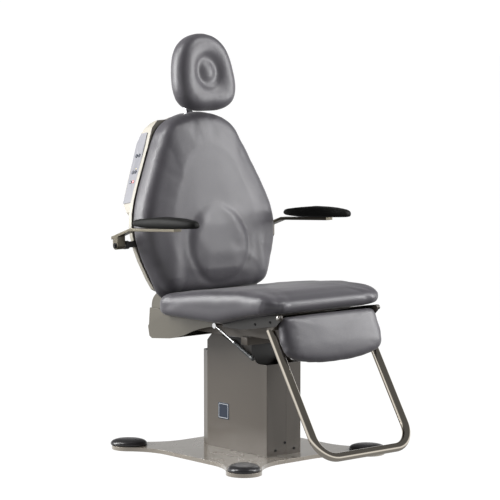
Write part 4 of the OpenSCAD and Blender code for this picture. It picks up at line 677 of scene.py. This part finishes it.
# keep holds the strip where the headrest's socket stands; S is the height along the back
back = {**foam, "place": backFrame, "rests": (0, 1, 0), "held": 0.6, "start": 5, "voxel": 6, "even": 20,
        "cap": 24, "proud": 3, "broad": 50, "crease": 0.08, "after": 4,
        "keep": lambda p: (abs(p[:, 0]) < 27) & (p[:, 1] > 5) & (p[:, 2] > 372),
        "lumbarS": 151, "lumbarW": 128, "lumbarL": 136, "groove": 3.0, "grooveW": 13, "fade": 0.72, "fadeL": 130,
        "bolster": 5.0, "bolsterX": 196, "bolsterW": 30, "bolsterTop": 230, "bolsterRun": 90,
        "bolsterFoot": 10, "bolsterRise": 40, "wave": 0.5, "wavePitch": 110}


def backDetail(p, n):
    x, s = p[:, 0], p[:, 2]
    front = np.clip(-n[:, 1], 0, 1) ** 2
    over = s - back["lumbarS"]
    edge = (np.hypot(x / back["lumbarW"], over / back["lumbarL"]) - 1.0) * back["lumbarW"]
    weight = np.where(over > 0, 1 - back["fade"] * np.clip(over / back["fadeL"], 0, 1), 1.0)
    p = p - n * (back["groove"] * weight * bell(edge, back["grooveW"]) * front)[:, None]
    reach = (np.clip((back["bolsterTop"] - s) / back["bolsterRun"], 0, 1)
             * np.clip((s - back["bolsterFoot"]) / back["bolsterRise"], 0, 1))
    ridge = bell(abs(x) - back["bolsterX"], back["bolsterW"]) * reach
    p = p + n * (back["bolster"] * ridge * front)[:, None]
    return p + n * (back["wave"] * waves(p, back["wavePitch"], 2) * front)[:, None]


back["detail"] = backDetail

legPad = {**foam, "place": padFrame, "rests": (0, 1, 0), "held": 0.6, "start": 4, "voxel": 5, "even": 12,
          "cap": 14, "proud": 2.5, "broad": 20, "crease": 0.2, "after": 3, "pleat": 1.5, "pleatPitch": 6.5,
          "pleatX": 196, "pleatW": 22, "pleatS": -62, "pleatL": 42, "sway": 0.9, "swayPitch": 17,
          "wave": 0.4, "wavePitch": 70}


def padDetail(p, n):
    x, s = p[:, 0], p[:, 2]
    side = np.clip(abs(n[:, 0]), 0, 1) ** 2
    fold = np.sin(s / legPad["pleatPitch"] + legPad["sway"] * np.sin(s / legPad["swayPitch"]))
    near = bell(abs(x) - legPad["pleatX"], legPad["pleatW"]) * bell(s - legPad["pleatS"], legPad["pleatL"])
    p = p + n * (legPad["pleat"] * fold * near * side)[:, None]
    return p + n * (legPad["wave"] * waves(p, legPad["wavePitch"], 3) * np.clip(-n[:, 1], 0, 1))[:, None]


legPad["detail"] = padDetail

headrest = {**foam, "place": headFrame, "rests": (0, 1, 0), "held": 0.6, "start": 4, "voxel": 4.5, "even": 60,
            "cap": 14, "proud": 3, "broad": 110, "crease": 0.1, "after": 3, "ringS": 128, "ringR": 43,
            "ringNarrow": 0.92, "ringWidth": 19, "ringDepth": 7, "wave": 0.3, "wavePitch": 60}


def headDetail(p, n):
    front = np.clip(-n[:, 1], 0, 1) ** 2
    r = np.hypot(p[:, 0] / headrest["ringNarrow"], p[:, 2] - headrest["ringS"])
    p = p - n * (headrest["ringDepth"] * bell(r - headrest["ringR"], headrest["ringWidth"]) * front)[:, None]
    return p + n * (headrest["wave"] * waves(p, headrest["wavePitch"], 4) * front)[:, None]


headrest["detail"] = headDetail

cushions = [("seat_cushion", seat, 0.75), ("back_cushion", back, 0.75),
            ("leg_pad", legPad, 0.8), ("headrest_cushion", headrest, 0.8)]
for node, settings, fill in cushions:
    plump(node, settings)
    print(node, "made")

# the hard moulded pads and caps keep their CAD form; they are only remeshed and smoothed
armPad = {"place": rowFrame, "rests": (0, 0, -1), "held": 0.8, "start": 0, "voxel": 3.2, "even": 8,
          "cap": 4, "proud": 0.2, "broad": 8, "fill": 0.9, "rounds": 1, "after": 2, "finish": "integralSkin"}
for node in ("arm_pad_left", "arm_pad_right"):
    plump(node, armPad)
footCap = {"place": rowFrame, "rests": (0, 0, -1), "held": 0.8, "start": 0, "voxel": 2.6, "even": 5,
           "cap": 4, "proud": 0.2, "broad": 6, "fill": 0.9, "rounds": 1, "after": 2, "finish": "mouldedPolyurethane"}
for end in ("front_left", "front_right", "rear_left", "rear_right"):
    plump("foot_cap_" + end, footCap)
print("pads and caps made")

dressed = [      # node, finish, bevel in mm and its segments
    ("base_plate", "pearlLacquer", 1.6, 3), ("shroud_left", "taupeEnamel", 0.7, 2),
    # the front panels take the darker copy of the taupe enamel, painted shade
    ("shroud_right", "taupeEnamel", 0.7, 2), ("shroud_front", "shadedFrontEnamel", 0.6, 2),
    ("shroud_access", "shadedFrontEnamel", 0.6, 2), ("shroud_rear", "taupeEnamel", 0.7, 2),
    ("guide_mast", "zincSteel", 1.5, 2), ("lift_actuator", "blackPowder", 1.2, 2),
    ("guide_pads", "whiteAcetal", 0.8, 2), ("lift_ram", "hardChrome", 0.6, 2),
    ("swivel_ring_lower", "turnedSteel", 0.8, 2), ("swivel_ring_upper", "turnedSteel", 0.8, 2),
    ("seat_frame", "framePowder", 1.2, 2), ("seat_pan", "taupeEnamel", 0.8, 2),
    # the front brackets take the near black copy of the taupe enamel, painted shade
    ("front_bracket_left", "shadedBracketEnamel", 0.8, 2), ("front_bracket_right", "shadedBracketEnamel", 0.8, 2),
    ("rear_cover", "warmGreyEnamel", 0.7, 2), ("recline_actuator", "blackPowder", 1.2, 2),
    ("brake_block", "blackLacquer", 1, 2), ("brake_lever", "satinChrome", 0.6, 2),
    ("back_frame", "framePowder", 1, 2), ("back_shell", "creamAbs", 4, 4), ("control_box", "greenBox", 2, 2),
    ("hinge_cover", "warmGreyEnamel", 0.6, 2), ("keypad_panel", "membraneFilm", 0.4, 2),
    ("arm_mount_left", "blackLacquer", 0.8, 2), ("arm_mount_right", "blackLacquer", 0.8, 2),
    ("headrest_socket", "blackNylon", 1, 2), ("recline_rod", "hardChrome", 0.6, 2),
    ("leg_link", "zincSteel", 0.8, 2), ("leg_frame", "framePowder", 0.8, 2),
    ("arm_bar_left", "champagneAnodised", 1.2, 3), ("arm_bar_right", "champagneAnodised", 1.2, 3),
    ("headrest_post", "hardChrome", 1, 3), ("headrest_link", "blackLacquer", 0.8, 2),
    ("headrest_plate", "blackLacquer", 0.8, 2), ("headrest_lock", "hardChrome", 1, 2),
]
for node, finish, bevel, segments in dressed:
    dressNode(node, finish, bevel, segments)
# the inner column's dark finish is partly painted shade for its recess
dressNode("inner_column", "darkTaupeShadedPowder", 1, 2, dissolve=0)      # its open lower end stays open
keyFinishes = {"key_up": "greyKey", "key_down": "greyKey", "key_recline": "greyKey", "key_upright": "greyKey",
               "key_auto": "darkKey", "key_stop": "redKey"}
for node, finish in keyFinishes.items():
    dressNode(node, finish, 0.5, 3)
print("rigid parts dressed")


def band(name, outer, inner, low, high):
    count = len(outer)
    rings = [(outer, low), (outer, high), (inner, high), (inner, low)]
    points = [(x, y, level) for ring, level in rings for x, y in ring]
    faces = []
    for k in range(4):
        a, b = k * count, ((k + 1) % 4) * count
        faces += [(a + i, a + (i + 1) % count, b + (i + 1) % count, b + i) for i in range(count)]
    return meshOf(name, points, faces)


def circle(radius, x=0, y=0, steps=40):
    return [(x + radius * math.cos(2 * math.pi * i / steps), y + radius * math.sin(2 * math.pi * i / steps))
            for i in range(steps)]


# socket screws: a chamfered head with a hexagon recess; the shank goes through the sheet
socketScrew = {"shank": 2.4, "shankL": 7, "head": 4.5, "height": 2.2, "hex": 2.3, "deep": 1.3}


def screwMesh(name, s, scale=1.0):
    top = s["height"] * scale
    profile = [(s["shank"], -s["shankL"]), (s["shank"], 0), (s["head"] * scale, 0), (s["head"] * scale, top * 0.6),
               (s["head"] * scale - 0.25, top * 0.85), (s["head"] * scale - 0.8, top),
               (s["hex"] * scale + 0.35, top), (s["hex"] * scale, top - 0.25),
               (s["hex"] * scale, top - s["deep"] * scale)]
    return turned(name, profile, 36, hexRings=(7, 8))


panelScrews = [(-36, 31), (5, 53), (45, 30)]       # X and Z on the front panels
screws = [moved(screwMesh("screw", socketScrew), facing((x, -182, z), (0, -1, 0))) for x, z in panelScrews]
addPiece("shroudScrews", joined("shroudScrews", screws), "blackOxide", "base", sharp=25,
         stands=("shroud_screws",))
bracketPlaces = [(-282.9, 473.0), (-355.5, 485.8)]      # Y and Z on each front bracket
screws = [moved(screwMesh("screw", socketScrew), facing((side * 213, y, z), (side, 0, 0)))
          for side in (-1, 1) for y, z in bracketPlaces]
addPiece("bracketScrews", joined("bracketScrews", screws), "blackOxide", "chair", sharp=25,
         stands=("bracket_screws",))

# the bare plate on the column's left side: a dark printed plate with a pale line round it
blankPlate = {"y": 35, "z": 139, "size": 54, "corner": 5, "x": -75.5, "frameIn": 3.2, "line": 1.6, "ink": 0.08}
dressNode("blank_plate", "printedPlate", 0.5, 2)


def square(half, radius):
    return rounded([(-half, -half), (half, -half), (half, half), (-half, half)], radius)


half = blankPlate["size"] / 2 - blankPlate["frameIn"]
frameLine = band("plateLine", square(half, 3.4), square(half - blankPlate["line"], 2.2), 0, blankPlate["ink"])
addPiece("plateLine", frameLine, "palePrint", "base",
         place=facing((blankPlate["x"], blankPlate["y"], blankPlate["z"]), (-1, 0, 0)), sharp=40)

# mains inlet: three flat pins stand in the recess
dressNode("mains_inlet", "blackNylon", 0.5, 2)
inlet = {"y": 141, "z": 64, "pinW": 2, "pinH": 4, "pinL": 14, "pitch": 7, "earth": 3.5}
pins = []
for x, drop in ((-inlet["pitch"], 0), (0, inlet["earth"]), (inlet["pitch"], 0)):
    outline = rounded([(-inlet["pinW"] / 2, -inlet["pinH"] / 2), (inlet["pinW"] / 2, -inlet["pinH"] / 2),
                       (inlet["pinW"] / 2, inlet["pinH"] / 2), (-inlet["pinW"] / 2, inlet["pinH"] / 2)], 0.6, 3)
    pins.append(moved(slab("pin", outline, 0, inlet["pinL"]), facing((x, inlet["y"], inlet["z"] - drop), (0, 1, 0))))
addPiece("inletPins", joined("inletPins", pins), "nickelPlate", "base", sharp=40)

# keypad: printed rings round the grey keys, an arrow or mark on each key, and the lens of the lamp
keypad = {"at": (-204.93, 81.3, 431.81), "tilt": 23.249, "rows": (44.1, -15.12, -50.4), "side": 7, "top": 3.7,
          "film": 2.1, "ringIn": 5.6, "ringOut": 6.95, "edgeIn": 4.1, "edgeOut": 5.1, "ink": 0.08, "lamp": (7, -3.78)}
tilt = math.radians(keypad["tilt"])
keypadFrame = backFrame @ Matrix.Translation(Vector(keypad["at"]) * mm) @ Matrix((
    (0, math.sin(tilt), -math.cos(tilt), 0), (-1, 0, 0, 0), (0, math.cos(tilt), math.sin(tilt), 0),
    (0, 0, 0, 1)))
rings = []
for row in keypad["rows"][:2]:
    for side in (-1, 1):
        x = side * keypad["side"]
        rings.append(band("ring", circle(keypad["ringOut"], x, row), circle(keypad["ringIn"], x, row),
                          keypad["film"], keypad["film"] + keypad["ink"]))
addPiece("keypadRings", joined("keypadRings", rings), "blueInk", "back", place=keypadFrame, sharp=40)
arrow = [(0, 3.4), (-2.9, 0.2), (-1.1, 0.2), (-1.1, -3.0), (1.1, -3.0), (1.1, 0.2), (2.9, 0.2)]
mark = [(-2.2, -2.2), (2.2, -2.2), (2.2, 2.2), (-2.2, 2.2)]
keyIcons = [     # body, row, side, shape, turn in degrees, ink and slot
    ("key_up", 0, 1, arrow, 0, "blueInk", "key_grey"), ("key_down", 0, -1, arrow, 180, "blueInk", "key_grey"),
    ("key_recline", 1, 1, arrow, -125, "blueInk", "key_grey"),
    ("key_upright", 1, -1, arrow, 55, "blueInk", "key_grey"),
    ("key_auto", 2, -1, arrow, 90, "palePrint", "key_dark"), ("key_stop", 2, 1, mark, 0, "palePrint", "key_red"),
]
for body, row, side, shape, spin, ink, slot in keyIcons:
    icon = slab(body + "Icon", shape, 0, keypad["ink"])
    if slot == "key_grey":      # a dark ring is printed round the arrow
        printed = band("edge", circle(keypad["edgeOut"]), circle(keypad["edgeIn"]), 0, keypad["ink"])
        icon = joined(body + "Icon", [icon, printed])
    turn = Matrix.Translation(Vector((side * keypad["side"], keypad["rows"][row], keypad["top"])) * mm)
    moved(icon, turn @ Matrix.Rotation(math.radians(spin), 4, "Z"))
    addPiece(body + "Icon", icon, ink, body, place=keypadFrame, sharp=40)
lens = turned("lampLens", [(2.5, 2.0), (2.5, 2.4), (2.2, 3.0), (1.5, 3.5), (0.6, 3.75), (0.1, 3.8)], 28)
moved(lens, Matrix.Translation(Vector((keypad["lamp"][0], keypad["lamp"][1], 0)) * mm))
addPiece("lampLens", lens, "amberLens", "back", place=keypadFrame, sharp=60)

# foot rail: one bent tube in fine segments
rail = {"halfW": 200, "length": 448, "bend": 75, "radius": 14, "sides": 80, "legSteps": 20, "legPitch": 18.65,
        "arcSteps": 28, "across": (-75, -25, 25, 75)}
railFrame = Matrix.Translation(Vector((0, -343, 460)) * mm) @ Matrix.Rotation(math.radians(58.3), 4, "X")
corner = rail["halfW"] - rail["bend"]
bottom = rail["bend"] - rail["length"]
path = [(-rail["halfW"], -k * rail["legPitch"], 0) for k in range(rail["legSteps"])]
turns = [math.pi / 2 * k / rail["arcSteps"] for k in range(rail["arcSteps"] + 1)]
path += [(-corner - rail["bend"] * math.cos(a), bottom - rail["bend"] * math.sin(a), 0) for a in turns]
path += [(x, -rail["length"], 0) for x in rail["across"]]
path += [(-x, y, 0) for x, y, _ in reversed(path[:rail["legSteps"] + rail["arcSteps"] + 1])]
railMesh = tube("footRail", path, rail["radius"], rail["sides"])
railPiece = addPiece("footRail", railMesh, "polishedStainless", bodyOfNode["foot_rail"],
                     place=railFrame, sharp=50, stands=("foot_rail",))
withoutLamps = bpy.data.collections.new("withoutLamps")      # the rail mirrors the pale room, not the lamps
withoutLamps.objects.link(railPiece)
withoutLamps.collection_objects[0].light_linking.link_state = "EXCLUDE"
for lamp in lamps:
    lamp.light_linking.receiver_collection = withoutLamps

# brake lever: a ribbed, domed grip and a collar where it starts
grip = {"from": 108, "to": 212, "radius": 6.5, "groove": 0.45, "ribs": 15, "pitch": 5.2}
leverFrame = (Matrix.Translation(Vector((-195, -66, 445.4)) * mm) @ Matrix.Rotation(math.radians(115.3), 4, "X"))
profile = [(4.6, grip["from"]), (grip["radius"] - 0.3, grip["from"]), (grip["radius"], grip["from"] + 0.6)]
for k in range(grip["ribs"]):
    z = grip["from"] + 10 + k * grip["pitch"]
    profile += [(grip["radius"], z), (grip["radius"] - grip["groove"], z + 0.7),
                (grip["radius"] - grip["groove"], z + 1.3), (grip["radius"], z + 2.0)]
domeAt = grip["to"] - grip["radius"]
profile += [(grip["radius"] * math.cos(a), domeAt + grip["radius"] * math.sin(a))
            for a in (math.radians(d) for d in (0, 15, 30, 45, 60, 75, 87))]
addPiece("brakeGrip", turned("brakeGrip", profile, 36), "dippedPvc", "brake_lever",
         place=leverFrame, sharp=50, stands=("brake_grip",))
collarProfile = [(4.05, 101), (5.4, 101), (5.8, 101.5), (5.8, 107), (5.4, 107.6), (4.05, 107.6)]
collar = turned("leverCollar", collarProfile, 32)
addPiece("leverCollar", collar, "satinChrome", "brake_lever", place=leverFrame, sharp=40)

# pivots: a washer and a socket screw on each arm's shaft, a bright spacer inside the arm, and domed caps on the
# leg rest's pins
armPivot = {"x": 345.2, "y": 268, "z": 690}
pivotScrew = {"shank": 3, "shankL": 0.6, "head": 6.2, "height": 3.2, "hex": 2.6, "deep": 1.8}
washer = [(4, 0), (9.4, 0), (9.8, 0.3), (9.8, 1.1), (9.4, 1.4), (4, 1.4)]
spacer = [(8.2, 308.3), (10.8, 308.3), (11.2, 308.8), (11.2, 310.1), (10.6, 310.6), (11.2, 311.0), (11.2, 312.2),
          (10.8, 312.7), (8.2, 312.7)]
for side, label in ((-1, "Left"), (1, "Right")):
    at = facing((side * armPivot["x"], armPivot["y"], armPivot["z"]), (side, 0, 0))
    disc = moved(turned("washer", washer, 40), at)
    bolt = moved(screwMesh("bolt", pivotScrew), at @ Matrix.Translation((0, 0, 1.4 * mm)))
    pivot = joined("armPivot" + label, [disc, bolt])
    addPiece("armPivot" + label, pivot, "blackOxide", "back", sharp=25)
    addPiece("armSpacer" + label, turned("armSpacer", spacer, 40), "nickelPlate", "back",
             place=facing((0, armPivot["y"], armPivot["z"]), (side, 0, 0)), sharp=25)
    dome = turned("legPin", [(3, -0.4), (6.4, 0), (6.6, 0.5), (6.2, 1.3), (4.8, 2.1), (2.6, 2.6), (0.3, 2.75)], 36)
    addPiece("legPinCap" + label, dome, "nickelPlate", "leg_rest",
             place=facing((side * 219, -398, 504), (side, 0, 0)), sharp=50)

# headrest knuckles: bolts on the forks' outer faces
knuckle = {"lower": (311.53, 1152.31), "upper": (278.89, 1215.01), "side": 15.2, "lockSide": 29.2}
bolts = []
for x, (y, z) in ((-knuckle["side"], knuckle["lower"]), (knuckle["lockSide"], knuckle["lower"]),
                  (-knuckle["side"], knuckle["upper"]), (knuckle["side"], knuckle["upper"])):
    side = 1 if x > 0 else -1
    at = facing((x + side * 0.1, y, z), (side, 0, 0))
    bolts.append(moved(turned("washer", [(3.5, 0), (7.6, 0), (7.9, 0.3), (7.9, 1), (7.6, 1.2), (3.5, 1.2)], 36), at))
    bolts.append(moved(screwMesh("bolt", pivotScrew, 0.85), at @ Matrix.Translation((0, 0, 1.2 * mm))))
addPiece("headrestBolts", joined("headrestBolts", bolts), "nickelPlate", bodyOfNode["headrest_link"],
         sharp=25)

# back shell: four press-in caps over its screws
shellCaps = [(-95, 352), (95, 352), (-75, 420), (75, 420)]      # X and height on the housing's rear face
caps = [moved(turned("cap", [(6.5, -0.5), (7, 0.3), (6.6, 0.9), (5.2, 1.4), (3, 1.7), (0.4, 1.8)], 32),
              backFrame @ facing((x, 110.3, s), (0, 1, 0))) for x, s in shellCaps]
addPiece("shellCaps", joined("shellCaps", caps), "blackNylon", "back", sharp=50)
print("small fittings made")
